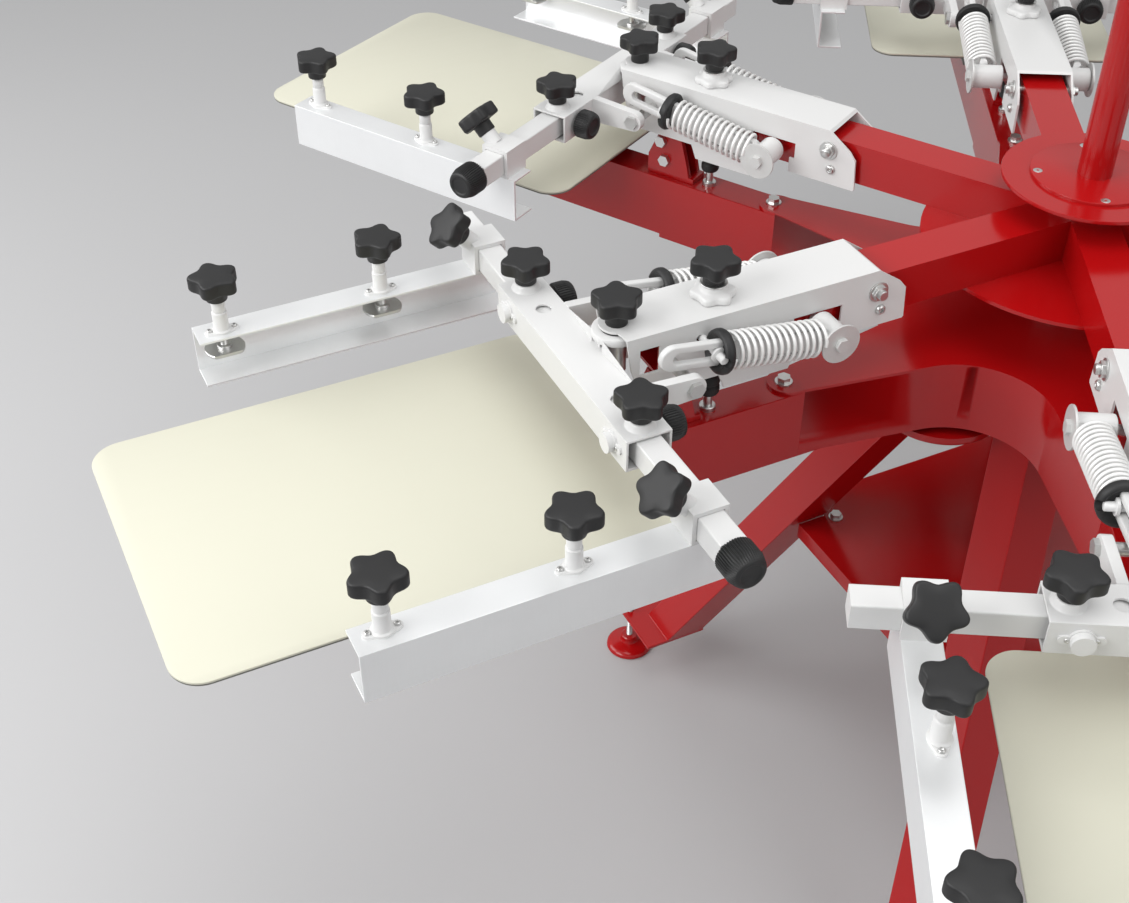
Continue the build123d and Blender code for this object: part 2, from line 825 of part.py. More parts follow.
def collar():
    """The black ring between spring and cross pin, which slides on the flat bar."""
    start = spring_end
    ring = rod_x(collar_radius, start, start + collar_length, guide_side, 0)
    ring = chamfer(ring.edges().filter_by(GeomType.CIRCLE), collar_edge)
    half_slot = guide_thickness / 2 + slide_gap
    half_high = guide_height / 2 + slide_gap
    hole = box(start, start + collar_length, guide_side - half_slot, guide_side + half_slot,
               -half_high, half_high)
    return ring - hole


def collars():
    return [guide_place() * solid for solid in on_both_sides(collar())]


def coil_points(turns):
    """Points on the spring's line every half turn, with the direction at each."""
    start = spring_start + spring_wire / 2
    length = spring_end - spring_wire / 2 - part_gap - start
    climb = length / turns
    points = []
    for half_turn in range(2 * turns + 1):
        angle = math.pi * half_turn
        place = Vector(start + climb * half_turn / 2, guide_side + spring_radius * math.cos(angle),
                       spring_radius * math.sin(angle))
        along = Vector(climb / (2 * math.pi), -spring_radius * math.sin(angle),
                       spring_radius * math.cos(angle)).normalized()
        points.append((place, along))
    return points


def two_arcs(start, start_way, end, end_way):
    """Two arcs that meet smoothly and keep the direction at both ends."""
    gap = end - start
    ways = start_way + end_way
    a = 2 * (1 - start_way.dot(end_way))
    b = gap.dot(ways)
    reach = (-b + math.sqrt(b * b + a * gap.dot(gap))) / a if a > 1e-9 else gap.dot(gap) / (4 * gap.dot(end_way))
    first = start + start_way * reach
    second = end - end_way * reach
    middle = (first + second) * 0.5
    middle_way = (second - first).normalized()
    return [Edge.make_tangent_arc(start, start_way, middle), Edge.make_tangent_arc(middle, middle_way, end)]


def least_gap(turns):
    """The least distance between neighbouring turns of the spring, on sampled points."""
    start, _ = coil_points(turns)[0]
    end, _ = coil_points(turns)[-1]
    climb = (end.X - start.X) / turns
    samples = []
    for step in range(36 * turns + 1):
        angle = 2 * math.pi * step / 36
        samples.append((climb * step / 36, spring_radius * math.cos(angle), spring_radius * math.sin(angle)))
    least = min(
        math.dist(samples[i], samples[j])
        for i in range(36)
        for j in range(i + 18, min(i + 54, len(samples)))
    )
    return least - spring_wire


def spring(turns):
    points = coil_points(turns)
    edges = []
    for (start, start_way), (end, end_way) in zip(points, points[1:]):
        edges += two_arcs(start, start_way, end, end_way)
    path = Wire(edges)
    first, way = points[0]
    section = Plane(origin=first, z_dir=way) * Circle(spring_wire / 2)
    return sweep(section, path=path)


def springs(turns):
    return [guide_place() * solid for solid in on_both_sides(spring(turns))]


# ---- print head: screen carrier ----
def sleeve():
    """The wide tube across the head, its lug under the nose and its two link bars."""
    low = sleeve_height_mid - sleeve_height / 2
    tube = box(sleeve_back, sleeve_front, -sleeve_half_length, sleeve_half_length, low, sleeve_top)
    bore = box(sleeve_back + sleeve_wall, sleeve_front - sleeve_wall, -sleeve_half_length,
               sleeve_half_length, low + sleeve_wall, sleeve_top - sleeve_wall)
    body = tube - bore + lug(low)
    for solid in on_both_sides(link_bar()):
        body = body + solid
    for sign in (-1, 1):
        seat_place = Pos(sleeve_reach, sign * sleeve_knob_side, sleeve_top + seat_height / 2)
        body = body + seat_place * Cone(seat_low_radius, seat_high_radius, seat_height)
        stud_bore = rod_z(stud_radius + running_gap, sleeve_top - sleeve_wall, sleeve_top + seat_height)
        body = body - Pos(sleeve_reach, sign * sleeve_knob_side, 0) * stud_bore
        hole_side = sign * (sleeve_knob_side - top_hole_inset)
        body = body - rod_z(top_hole_radius, sleeve_top - sleeve_wall, sleeve_top, sleeve_reach, hole_side)
        y = sign * button_side
        body = body - rod_x(stud_radius + running_gap, sleeve_back, sleeve_front, y, sleeve_height_mid)
    return body


def lug(sleeve_bottom):
    """The round lug behind the sleeve that the nose of the cover sits on, with its boss."""
    top = nose_block_bottom - part_gap
    bottom = top - lug_thickness
    shape = rod_z(nose_radius, bottom, top, nose_reach, 0)
    far = max(sleeve_back, nose_reach + nose_radius)
    shape = shape + box(nose_reach, far, -nose_radius, nose_radius, bottom, top)
    shape = shape - box(sleeve_back, 2 * far, -2 * nose_radius, 2 * nose_radius, sleeve_bottom, top + 1)
    boss = rod_z(lug_boss_radius, bottom - lug_boss_height, bottom, nose_reach, 0)
    boss = boss - box(sleeve_back, 2 * far, -nose_radius, nose_radius, sleeve_bottom, bottom)
    stud = rod_z(stud_radius + running_gap, bottom - lug_boss_height, top, nose_reach, 0)
    return shape + boss - stud


def link_bar():
    near = link_side - link_thickness / 2
    far = link_side + link_thickness / 2
    x, z = link_stud_place()
    half = link_height / 2
    shape = box(x, sleeve_back, near, far, z - half, z + half) + rod_y(half, near, far, x, z)
    return shape - rod_y(link_stud_radius, near, far, x, z)


def bar():
    half = bar_size / 2
    body = box(sleeve_reach - half, sleeve_reach + half, -bar_half_length, bar_half_length,
               sleeve_height_mid - half, sleeve_height_mid + half)
    return fillet(body.edges().filter_by(Axis.Y), bar_edge_radius)


def plungers():
    """Spring plungers in the front wall of the sleeve, that push the bar back."""
    z = sleeve_height_mid
    bar_front = sleeve_reach + bar_size / 2 + part_gap
    plate_front = sleeve_front + button_plate_thickness
    plate = rod_x(button_radius, sleeve_front, plate_front, button_side, z)
    for side in (button_side - button_lug_side, button_side + button_lug_side):
        plate = plate + rod_x(button_lug_radius, sleeve_front, plate_front, side, z)
        near, far = sorted((button_side, side))
        plate = plate + box(sleeve_front, plate_front, near, far, z - button_lug_radius, z + button_lug_radius)
    button = rod_x(button_radius - button_rim, plate_front, sleeve_front + button_height, button_side, z)
    tip = rod_x(stud_radius, bar_front, sleeve_front, button_side, z)
    return on_both_sides(plate + button + tip)


def back_knob(sign):
    """A knurled screw behind the sleeve that sets the bar against its plunger."""
    y = sign * button_side
    rear = sleeve_back - knurl_gap - knurl_length
    head = rod_x(knurl_radius, rear, rear + knurl_length, y, sleeve_height_mid)
    head = chamfer(head.edges().filter_by(GeomType.CIRCLE), knurl_edge)
    bar_back = sleeve_reach - bar_size / 2 - part_gap
    return head + rod_x(stud_radius, rear + knurl_length, bar_back, y, sleeve_height_mid)


def bar_knob():
    """The knurled knob on one end of the bar."""
    start = bar_half_length + part_gap
    knob = rod_y(bar_knob_radius, start, start + bar_knob_length, sleeve_reach, sleeve_height_mid)
    return chamfer(knob.edges().filter_by(GeomType.CIRCLE), bar_knob_edge)


def clamp(sign):
    """The bracket that grips the bar and carries a holder, with a slanted screw boss."""
    near = sign * clamp_side - clamp_length / 2
    far = sign * clamp_side + clamp_length / 2
    half = bar_size / 2 + part_gap
    outer = half + clamp_wall
    body = box(sleeve_reach - outer, sleeve_reach + outer, near, far, holder_top, sleeve_height_mid + outer)
    body = body - box(sleeve_reach - half, sleeve_reach + half, near, far,
                      sleeve_height_mid - half, sleeve_height_mid + half)
    body = body + clamp_boss_place(sign) * rod_z(clamp_boss_radius, outer, clamp_boss_top())
    return body - clamp_boss_place(sign) * rod_z(stud_radius + running_gap, 0, clamp_boss_top())


def clamp_boss_place(sign):
    return Pos(sleeve_reach, sign * clamp_side, sleeve_height_mid) * Rot(0, clamp_boss_tilt, 0)


def clamp_boss_top():
    """From the middle of the bar, over the corner of the clamp."""
    return (bar_size / 2 + part_gap + clamp_wall) * math.sqrt(2) + clamp_boss_height


def holder(sign):
    """The aluminium channel that a printing screen slides into, open towards the other one."""
    outer = sign * holder_half_span
    inner = sign * holder_inner_side
    near, far = sorted((inner, outer))
    body = box(holder_inner_reach, holder_outer_reach, near, far, holder_bottom, holder_top)
    web = sign * (holder_half_span - holder_wall)
    near, far = sorted((inner - sign, web))
    body = body - box(holder_inner_reach, holder_outer_reach, near, far,
                      holder_bottom + holder_wall, holder_top - holder_wall)
    bosses = []
    for reach in screw_reaches:
        y = sign * screw_side
        body = body - rod_z(stud_radius + running_gap, holder_top - holder_wall, holder_top, reach, y)
        bosses.append(screw_boss(reach, y))
    return [body] + bosses


def screw_boss(x, y):
    """A turned boss with an oval flange and two small screws."""
    flange_top = holder_top + screw_flange_thickness
    boss = rod_z(screw_flange_radius, holder_top, flange_top)
    for shift in (-flange_end_side, flange_end_side):
        near, far = sorted((0, shift))
        boss = boss + rod_z(flange_end_radius, holder_top, flange_top, shift, 0)
        boss = boss + box(near, far, -flange_end_radius, flange_end_radius, holder_top, flange_top)
        boss = boss + rod_z(flange_screw_radius, flange_top, flange_top + flange_screw_height, shift, 0)
    boss = boss + rod_z(screw_boss_radius, flange_top, screw_boss_top)
    return Pos(x, y, 0) * (boss - rod_z(stud_radius + running_gap, holder_top, screw_boss_top))


# ---- knobs ----
def star_head(bottom):
    """A black lobed grip with its round boss, standing at the given height."""
    star_bottom = bottom + star_boss_height
    star = rod_z(star_radius, star_bottom, star_bottom + star_thickness)
    bite_reach = star_radius + star_bite_radius - star_bite_depth
    for lobe in range(star_lobes):
        turn = math.radians(360.0 / star_lobes * lobe)
        bite = rod_z(star_bite_radius, star_bottom, star_bottom + star_thickness,
                     bite_reach * math.cos(turn), bite_reach * math.sin(turn))
        star = star - bite
    return star + rod_z(star_boss_radius, bottom, star_bottom)


def star_knob(stem_bottom, head_bottom):
    return star_head(head_bottom) + rod_z(stud_radius, stem_bottom, head_bottom)


def sleeve_knob(sign):
    bar_top = sleeve_height_mid + bar_size / 2 + part_gap
    knob = star_knob(bar_top, sleeve_top + seat_height + part_gap)
    return Pos(sleeve_reach, sign * sleeve_knob_side, 0) * knob


def front_knob():
    stem_bottom = nose_block_bottom - part_gap - lug_thickness - lug_boss_height
    return Pos(nose_reach, 0, 0) * star_knob(stem_bottom, cover_top + front_knob_rise)


def top_knob():
    head_bottom = cover_top + lock_nut_height + lock_collar_height + part_gap
    return Pos(top_knob_reach, 0, 0) * star_knob(upper_top + part_gap, head_bottom)


def clamp_knob(sign):
    corner = (bar_size / 2 + part_gap) * math.sqrt(2)
    return clamp_boss_place(sign) * star_knob(corner, clamp_boss_top() + part_gap)


def screen_screw(sign, reach):
    """A star knob, its stem and the round pad that holds the screen down."""
    pad_top = holder_top - pad_drop
    knob = star_knob(pad_top, screw_boss_top + screw_head_gap)
    pad_bottom = pad_top - pad_thickness
    room = holder_flange - holder_wall - 2 * slide_gap
    pad = rod_z(pad_radius, pad_bottom, pad_top)
    pad = pad & box(-pad_radius, pad_radius, -room / 2, room / 2, pad_bottom, pad_top)
    pad = pad + rod_z(pad_hub_radius, pad_top, pad_top + pad_hub_height)
    return Pos(reach, sign * screw_side, 0) * (knob + pad)


# ---- whole heads ----
def fixed_head():
    """Every piece of a side head that lifts as one, each as its own solid."""
    solids = [cover()] + cover_fittings() + [sleeve(), bar()] + plungers()
    solids += [back_knob(-1), back_knob(1), bar_knob(), front_knob(), top_knob()]
    for sign in (-1, 1):
        solids += [sleeve_knob(sign), clamp(sign), clamp_knob(sign)] + holder(sign)
        solids += [screen_screw(sign, reach) for reach in screw_reaches]
    return solids


def as_list(shape):
    return shape if isinstance(shape, list) else [shape]


def write(name, shape):
    solids = []
    for piece in as_list(shape):
        solids += piece.solids()
    export_step(Compound(children=solids), f"parts/{name}.step")


def stand_parts():
    return {
        "legs": legs(),
        "stand_top": stand_top(),
        "shelf_plate": shelf_plate(),
        "shelf_bolts": shelf_bolts(),
        "leveling_feet": leveling_feet(),
        "index_unit": index_unit(),
        "centre_shaft": centre_shaft(),
        "centre_post": centre_post(),
    }


def carousel_parts():
    return {
        "star_plate": star_plate(),
        "lower_arms": lower_arms(),
        "lower_hub": lower_hub(),
        "carousel_bolts": carousel_bolts(),
        "registration_gates": around(registration_gate()),
        "gate_rollers": gate_rollers(),
        "stop_bumpers": stop_bumpers(),
        "pallets": around(pallet()),
        "pallet_brackets": around(pallet_bracket()),
        "upper_arms": upper_arms(),
        "hub_disc": hub_disc(),
        "hub_cap": hub_cap(),
        "spring_anchors": spring_anchors(),
    }


def main_head_parts():
    parts = {
        "head_1_cover": cover(),
        "head_1_fittings": cover_fittings() + plungers(),
        "head_1_sleeve": sleeve(),
        "head_1_bar": bar(),
        "head_1_bar_knob": bar_knob(),
        "head_1_front_knob": front_knob(),
        "head_1_top_knob": top_knob(),
        "head_1_guides": guides(),
        "head_1_collars": collars(),
        "head_1_springs": springs(main_head_turns),
    }
    for side, sign in (("left", 1), ("right", -1)):
        parts[f"head_1_sleeve_knob_{side}"] = sleeve_knob(sign)
        parts[f"head_1_back_knob_{side}"] = back_knob(sign)
        parts[f"head_1_clamp_{side}"] = clamp(sign)
        parts[f"head_1_clamp_knob_{side}"] = clamp_knob(sign)
        parts[f"head_1_holder_{side}"] = holder(sign)
        for place, reach in zip(("inner", "outer"), screw_reaches):
            parts[f"head_1_screw_{side}_{place}"] = screen_screw(sign, reach)
    return parts


def side_head_parts():
    parts = {}
    frame = fixed_head()
    guide_pair = guides()
    spring_pair = springs(side_head_turns) + collars()
    for number in range(2, station_count + 1):
        parts[f"head_{number}_frame"] = [at_station(number, solid) for solid in frame]
        parts[f"head_{number}_guides"] = [at_station(number, solid) for solid in guide_pair]
        parts[f"head_{number}_springs"] = [at_station(number, solid) for solid in spring_pair]
    return parts


os.makedirs("parts", exist_ok=True)
nodes = {**stand_parts(), **carousel_parts(), **main_head_parts(), **side_head_parts()}
for node_name, node_shape in nodes.items():
    write(node_name, node_shape)
print("nodes written:", len(nodes))
for turns in (main_head_turns, side_head_turns):
    print("spring of", turns, "turns: least gap to itself", round(least_gap(turns), 2), "mm")
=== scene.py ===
import json
import math

import bmesh
import bpy
from mathutils import Matrix, Vector

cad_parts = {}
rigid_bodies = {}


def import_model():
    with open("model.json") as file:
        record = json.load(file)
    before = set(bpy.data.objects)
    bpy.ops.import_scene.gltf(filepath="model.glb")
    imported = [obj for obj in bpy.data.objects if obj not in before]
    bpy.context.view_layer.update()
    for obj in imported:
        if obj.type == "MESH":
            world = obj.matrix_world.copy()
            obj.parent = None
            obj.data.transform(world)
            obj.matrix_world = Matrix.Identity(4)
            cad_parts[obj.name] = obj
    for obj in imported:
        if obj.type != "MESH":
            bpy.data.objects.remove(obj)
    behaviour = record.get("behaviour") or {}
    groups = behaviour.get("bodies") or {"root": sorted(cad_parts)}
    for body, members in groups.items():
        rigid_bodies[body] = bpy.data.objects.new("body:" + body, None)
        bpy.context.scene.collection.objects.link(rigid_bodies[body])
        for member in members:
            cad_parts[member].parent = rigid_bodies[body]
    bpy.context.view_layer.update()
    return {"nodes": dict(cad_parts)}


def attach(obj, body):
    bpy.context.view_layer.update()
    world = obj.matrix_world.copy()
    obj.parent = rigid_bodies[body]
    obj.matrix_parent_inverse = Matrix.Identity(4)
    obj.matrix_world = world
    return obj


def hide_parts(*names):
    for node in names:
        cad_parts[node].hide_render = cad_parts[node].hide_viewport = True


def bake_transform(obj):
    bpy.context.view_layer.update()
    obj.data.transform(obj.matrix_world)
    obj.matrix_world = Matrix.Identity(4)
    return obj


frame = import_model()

nodes = frame["nodes"]
mm = 0.001
stations = range(1, 7)


# node trees written as Python expressions
class Wire:  # one output socket, so that sums and products can be written as such
    def __init__(self, graph, socket):
        self.graph = graph
        self.socket = socket

    def maths(self, operation, first, second):
        return self.graph.add("ShaderNodeMath", {"operation": operation}, {0: first, 1: second})

    def __add__(self, other):
        return self.maths("ADD", self, other)

    def __radd__(self, other):
        return self.maths("ADD", other, self)

    def __sub__(self, other):
        return self.maths("SUBTRACT", self, other)

    def __rsub__(self, other):
        return self.maths("SUBTRACT", other, self)

    def __mul__(self, other):
        return self.maths("MULTIPLY", self, other)

    def __rmul__(self, other):
        return self.maths("MULTIPLY", other, self)

    def __truediv__(self, other):
        return self.maths("DIVIDE", self, other)


class Graph:  # adds nodes to one tree
    def __init__(self, tree):
        self.tree = tree

    def node(self, kind, settings=None, inputs=None):
        made = self.tree.nodes.new(kind)
        for name, value in (settings or {}).items():
            if name == "stops":
                ramp = made.color_ramp
                while len(ramp.elements) < len(value):
                    ramp.elements.new(0.5)
                for element, (place, shade) in zip(ramp.elements, value):
                    element.position = place
                    element.color = (shade, shade, shade, 1)
            else:
                setattr(made, name, value)
        for key, value in (inputs or {}).items():
            if isinstance(value, Wire):
                self.tree.links.new(value.socket, made.inputs[key])
            else:
                made.inputs[key].default_value = value
        return made

    def add(self, kind, settings=None, inputs=None, out=0):
        return Wire(self, self.node(kind, settings, inputs).outputs[out])

    def blendColour(self, factor, first, second):
        return self.add("ShaderNodeMix", {"data_type": "RGBA"}, {0: factor, 6: first, 7: second}, 2)

    def noise(self, coords, scale, detail=2.0, rough=0.5):
        return self.add("ShaderNodeTexNoise", None,
                        {"Vector": coords, "Scale": scale, "Detail": detail, "Roughness": rough})

    def ramp(self, value, stops):
        return self.add("ShaderNodeValToRGB", {"stops": stops}, {0: value})


def newFinish(name):
    finish = bpy.data.materials.new(name)
    finish.use_nodes = True
    finish.node_tree.nodes.clear()
    graph = Graph(finish.node_tree)
    shader = graph.node("ShaderNodeBsdfPrincipled")
    output = graph.node("ShaderNodeOutputMaterial")
    finish.node_tree.links.new(shader.outputs[0], output.inputs[0])
    coords = graph.add("ShaderNodeTexCoord", None, None, 3)
    return finish, graph, shader, coords


def tinted(colour, share):
    return tuple(min(1.0, part * share) for part in colour) + (1,)


def enamel(name, look):  # sprayed and baked paint: orange peel, faint clouds in the colour, a little dust
    finish, graph, shader, coords = newFinish(name)
    clouds = graph.noise(coords, look["cloudScale"], 4)
    specks = graph.ramp(graph.noise(coords, look["speckScale"], 1), [(0.0, 0), (0.72, 0), (0.80, 1), (1.0, 1)])
    shade = graph.blendColour(clouds, tinted(look["colour"], 1 - look["cloud"]), tinted(look["colour"], 1 + look["cloud"]))
    dusty = graph.blendColour(specks * look["speck"], shade, look["dust"] + (1,))
    peel = graph.noise(coords, look["peelScale"], 2)
    rubbed = graph.noise(coords, look["cloudScale"] * 5, 3)
    bump = graph.add("ShaderNodeBump", None, {"Strength": look["peel"], "Distance": 0.0004, "Height": peel})
    links = finish.node_tree.links
    links.new(dusty.socket, shader.inputs["Base Color"])
    links.new((look["rough"] + rubbed * look["roughSpread"]).socket, shader.inputs["Roughness"])
    links.new(bump.socket, shader.inputs["Normal"])
    shader.inputs["Coat Weight"].default_value = look["coat"]
    shader.inputs["Coat Roughness"].default_value = 0.12
    return finish


def rawMetal(name, look):  # bare or plated metal with fine lines along one direction and slight tarnish
    finish, graph, shader, coords = newFinish(name)
    drawn = graph.add("ShaderNodeMapping", None, {"Vector": coords, "Scale": look["stretch"]})
    lines = graph.noise(drawn, look["lineScale"], 3, 0.6)
    clouds = graph.noise(coords, look["cloudScale"], 4)
    tone = graph.blendColour(clouds, tinted(look["colour"], 0.93), tinted(look["colour"], 1.05))
    shade = graph.blendColour(lines * look["line"], tone, tinted(look["colour"], 0.78))
    bump = graph.add("ShaderNodeBump", None, {"Strength": look["bump"], "Distance": 0.0003, "Height": lines})
    links = finish.node_tree.links
    links.new(shade.socket, shader.inputs["Base Color"])
    links.new((look["rough"] + lines * 0.10 + clouds * 0.08).socket, shader.inputs["Roughness"])
    links.new(bump.socket, shader.inputs["Normal"])
    shader.inputs["Metallic"].default_value = look["metallic"]
    return finish


def moulded(name, look):  # plastic and rubber with a fine spark-eroded grain
    finish, graph, shader, coords = newFinish(name)
    grain = graph.noise(coords, look["grainScale"], 3, 0.6)
    clouds = graph.noise(coords, 18, 3)
    scuffs = graph.ramp(graph.noise(coords, 160, 5, 0.7), [(0.0, 0), (0.58, 0), (0.75, 1), (1.0, 1)])
    shade = graph.blendColour(clouds, tinted(look["colour"], 0.85), tinted(look["colour"], 1.15))
    worn = graph.blendColour(scuffs * look["scuff"], shade, tinted(look["colour"], 2.2))
    bump = graph.add("ShaderNodeBump", None, {"Strength": look["grain"], "Distance": 0.0003, "Height": grain})
    links = finish.node_tree.links
    links.new(worn.socket, shader.inputs["Base Color"])
    links.new((look["rough"] + scuffs * 0.12 + clouds * 0.05).socket, shader.inputs["Roughness"])
    links.new(bump.socket, shader.inputs["Normal"])
    return finish


def laminate(name, look):  # smooth pallet board with a very fine stipple and faint ink-free wiping marks
    finish, graph, shader, coords = newFinish(name)
    clouds = graph.noise(coords, 3.5, 3)
    stipple = graph.noise(coords, 1400, 2)
    wipes = graph.noise(graph.add("ShaderNodeMapping", None, {"Vector": coords, "Scale": (4, 26, 4)}), 3.0, 4)
    shade = graph.blendColour(clouds, tinted(look["colour"], 0.975), tinted(look["colour"], 1.02))
    links = finish.node_tree.links
    bump = graph.add("ShaderNodeBump", None, {"Strength": 0.06, "Distance": 0.0002, "Height": stipple})
    links.new(graph.blendColour(wipes * 0.10, shade, look["stain"] + (1,)).socket, shader.inputs["Base Color"])
    links.new((look["rough"] + wipes * 0.12).socket, shader.inputs["Roughness"])
    links.new(bump.socket, shader.inputs["Normal"])
    return finish


redLook = {"colour": (0.40, 0.004, 0.005), "cloud": 0.05, "cloudScale": 5, "speck": 0.05, "speckScale": 420,
           "dust": (0.55, 0.20, 0.18), "peel": 0.05, "peelScale": 380, "rough": 0.13, "roughSpread": 0.08, "coat": 0.0}
whiteLook = {"colour": (0.69, 0.69, 0.685), "cloud": 0.02, "cloudScale": 7, "speck": 0.06, "speckScale": 500,
             "dust": (0.66, 0.65, 0.62), "peel": 0.06, "peelScale": 480, "rough": 0.30, "roughSpread": 0.10, "coat": 0.0}
bossLook = dict(whiteLook, colour=(0.72, 0.72, 0.715), rough=0.36)
channelLook = {"colour": (0.90, 0.91, 0.915), "stretch": (60, 60, 3), "lineScale": 8, "line": 0.12, "cloudScale": 9,
               "bump": 0.03, "rough": 0.28, "metallic": 0.55}
platedLook = {"colour": (0.66, 0.66, 0.65), "stretch": (40, 40, 40), "lineScale": 12, "line": 0.35, "cloudScale": 60,
              "bump": 0.05, "rough": 0.22, "metallic": 0.95}
springLook = {"colour": (0.86, 0.86, 0.85), "stretch": (40, 40, 40), "lineScale": 20, "line": 0.2, "cloudScale": 40,
              "bump": 0.04, "rough": 0.26, "metallic": 0.25}
washerLook = dict(platedLook, colour=(0.66, 0.66, 0.65), metallic=0.35, rough=0.32)
blackLook = {"colour": (0.011, 0.011, 0.0115), "grainScale": 900, "grain": 0.15, "scuff": 0.2, "rough": 0.48}
rubberLook = {"colour": (0.009, 0.009, 0.009), "grainScale": 600, "grain": 0.25, "scuff": 0.20, "rough": 0.60}
bushingLook = {"colour": (0.80, 0.80, 0.79), "grainScale": 700, "grain": 0.08, "scuff": 0.0, "rough": 0.38}
palletLook = {"colour": (0.61, 0.60, 0.495), "stain": (0.585, 0.57, 0.445), "rough": 0.40}
backingLook = {"colour": (0.16, 0.16, 0.14), "grainScale": 500, "grain": 0.2, "scuff": 0.1, "rough": 0.55}

redPaint = enamel("redPaint", redLook)
whitePaint = enamel("whitePaint", whiteLook)
whiteTurned = enamel("whiteTurned", bossLook)
channelMetal = rawMetal("channelMetal", channelLook)
platedSteel = rawMetal("platedSteel", platedLook)
springSteel = rawMetal("springSteel", springLook)
washerSteel = rawMetal("washerSteel", washerLook)
blackPlastic = moulded("blackPlastic", blackLook)
blackRubber = moulded("blackRubber", rubberLook)
whiteNylon = moulded("whiteNylon", bushingLook)
creamBoard = laminate("creamBoard", palletLook)
darkBacking = moulded("darkBacking", backingLook)
print("finishes made")


def addRings(form, rings, closed=False):  # joins rings of points into one skin; a ring of one point closes an end
    made = [[form.verts.new(point) for point in ring] for ring in rings]
    for low, high in zip(made, made[1:] + (made[:1] if closed else [])):
        count = max(len(low), len(high))
        for step in range(count):
            after = (step + 1) % count
            if len(low) == 1:
                form.faces.new((low[0], high[after], high[step]))
            elif len(high) == 1:
                form.faces.new((low[step], low[after], high[0]))
            else:
                form.faces.new((low[step], low[after], high[after], high[step]))
    for ring, flip in ((made[0], True), (made[-1], False)):
        if len(ring) > 1 and not closed:
            form.faces.new(ring[::-1] if flip else ring)


def addTurned(form, profile, sides=48, seat=Matrix(), shape=None, closed=False):  # a turned form, or a lobed one
    rings = []
    for radius, height in profile:
        if radius == 0:
            rings.append([seat @ Vector((0, 0, height))])
            continue
        ring = []
        for step in range(sides):
            angle = math.tau * step / sides
            reach = radius * (shape(angle, radius) if shape else 1)
            ring.append(seat @ Vector((reach * math.cos(angle), reach * math.sin(angle), height)))
        rings.append(ring)
    addRings(form, rings, closed)


def seatAt(place, direction):  # the frame of a turned form that stands at a place and points along a direction
    return Matrix.Translation(place) @ Vector(direction).to_track_quat("Z", "Y").to_matrix().to_4x4()


def islandsOf(nodeName, height=None):  # the solids of a CAD node, each as a mesh of its own; none that stands above height
    whole = bmesh.new()
    whole.from_mesh(nodes[nodeName].data)
    if height:
        level = height * mm
        above = [face for face in whole.faces if face.calc_center_median().z > level + 1e-5 or (
            face.normal.z < -0.9 and abs(face.calc_center_median().z - level) < 1e-5)]
        bmesh.ops.delete(whole, geom=above, context="FACES")
    bmesh.ops.remove_doubles(whole, verts=whole.verts, dist=2e-6)
    unseen = set(whole.verts)
    islands = []
    while unseen:
        stack = [unseen.pop()]
        found = set(stack)
        while stack:
            for edge in stack.pop().link_edges:
                for vert in edge.verts:
                    if vert in unseen:
                        unseen.discard(vert)
                        found.add(vert)
                        stack.append(vert)
        part = bmesh.new()
        renamed = {vert: part.verts.new(vert.co) for vert in found}
        for face in {face for vert in found for face in vert.link_faces}:
            part.faces.new([renamed[vert] for vert in face.verts])
        islands.append(part)
    whole.free()
    return islands


def middleOf(part):
    low = Vector([min(vert.co[axis] for vert in part.verts) for axis in range(3)])
    high = Vector([max(vert.co[axis] for vert in part.verts) for axis in range(3)])
    return (low + high) / 2, high - low


def soften(part, width, segments=2):  # rounds the edges of one solid
    bmesh.ops.dissolve_limit(part, angle_limit=math.radians(0.7), verts=part.verts, edges=part.edges,
                             use_dissolve_boundaries=False)
    edges = [edge for edge in part.edges if len(edge.link_faces) == 2 and edge.calc_face_angle() > math.radians(34)]
    if edges and width:
        bmesh.ops.bevel(part, geom=edges, offset=width * mm, segments=segments, profile=0.5, affect="EDGES",
                        clamp_overlap=True)


def wholeMesh(parts):  # several solids as one form
    form = bmesh.new()
    for part in parts:
        scratch = bpy.data.meshes.new("scratch")
        part.to_mesh(scratch)
        form.from_mesh(scratch)
        bpy.data.meshes.remove(scratch)
        part.free()
    return form


def softened(nodeName, width, keep=None, height=None):  # the solids of a CAD node with their edges rounded, in metres
    parts = []
    for part in islandsOf(nodeName, height):
        middle, size = middleOf(part)
        if keep is None or keep(middle / mm, size / mm):
            soften(part, width)
            parts.append(part)
        else:
            part.free()
    return wholeMesh(parts)


def pieceFrom(name, form, finishes):  # a finished object at the origin
    mesh = bpy.data.meshes.new(name)
    form.to_mesh(mesh)
    form.free()
    piece = bpy.data.objects.new(name, mesh)
    bpy.context.scene.collection.objects.link(piece)
    for finish in finishes:
        mesh.materials.append(finish)
    return piece


def evenShading(piece, sharp=34):  # smooth faces with level flats
    piece.data.shade_smooth()
    piece.data.set_sharp_from_angle(angle=math.radians(sharp))
    level = piece.modifiers.new("level", "WEIGHTED_NORMAL")
    level.keep_sharp = True
    level.weight = 100
    return plain(piece)


def plain(piece):  # applies the modifiers and keeps the name
    name = piece.name
    bpy.context.view_layer.update()
    mesh = bpy.data.meshes.new_from_object(piece.evaluated_get(bpy.context.evaluated_depsgraph_get()))
    old = piece.data
    piece.modifiers.clear()
    piece.data = mesh
    bpy.data.meshes.remove(old)
    mesh.name = name
    return piece


def seat(piece, body, nodeNames, slotName):
    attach(piece, body)
    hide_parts(*nodeNames)
    return piece


def turned(number):
    return Matrix.Rotation(math.radians(60 * (number - 1)), 4, "Z")


def copyOf(piece, name, number):  # a head 1 piece at another head
    mesh = piece.data.copy()
    mesh.name = name
    mesh.transform(turned(number))
    other = bpy.data.objects.new(name, mesh)
    bpy.context.scene.collection.objects.link(other)
    return other


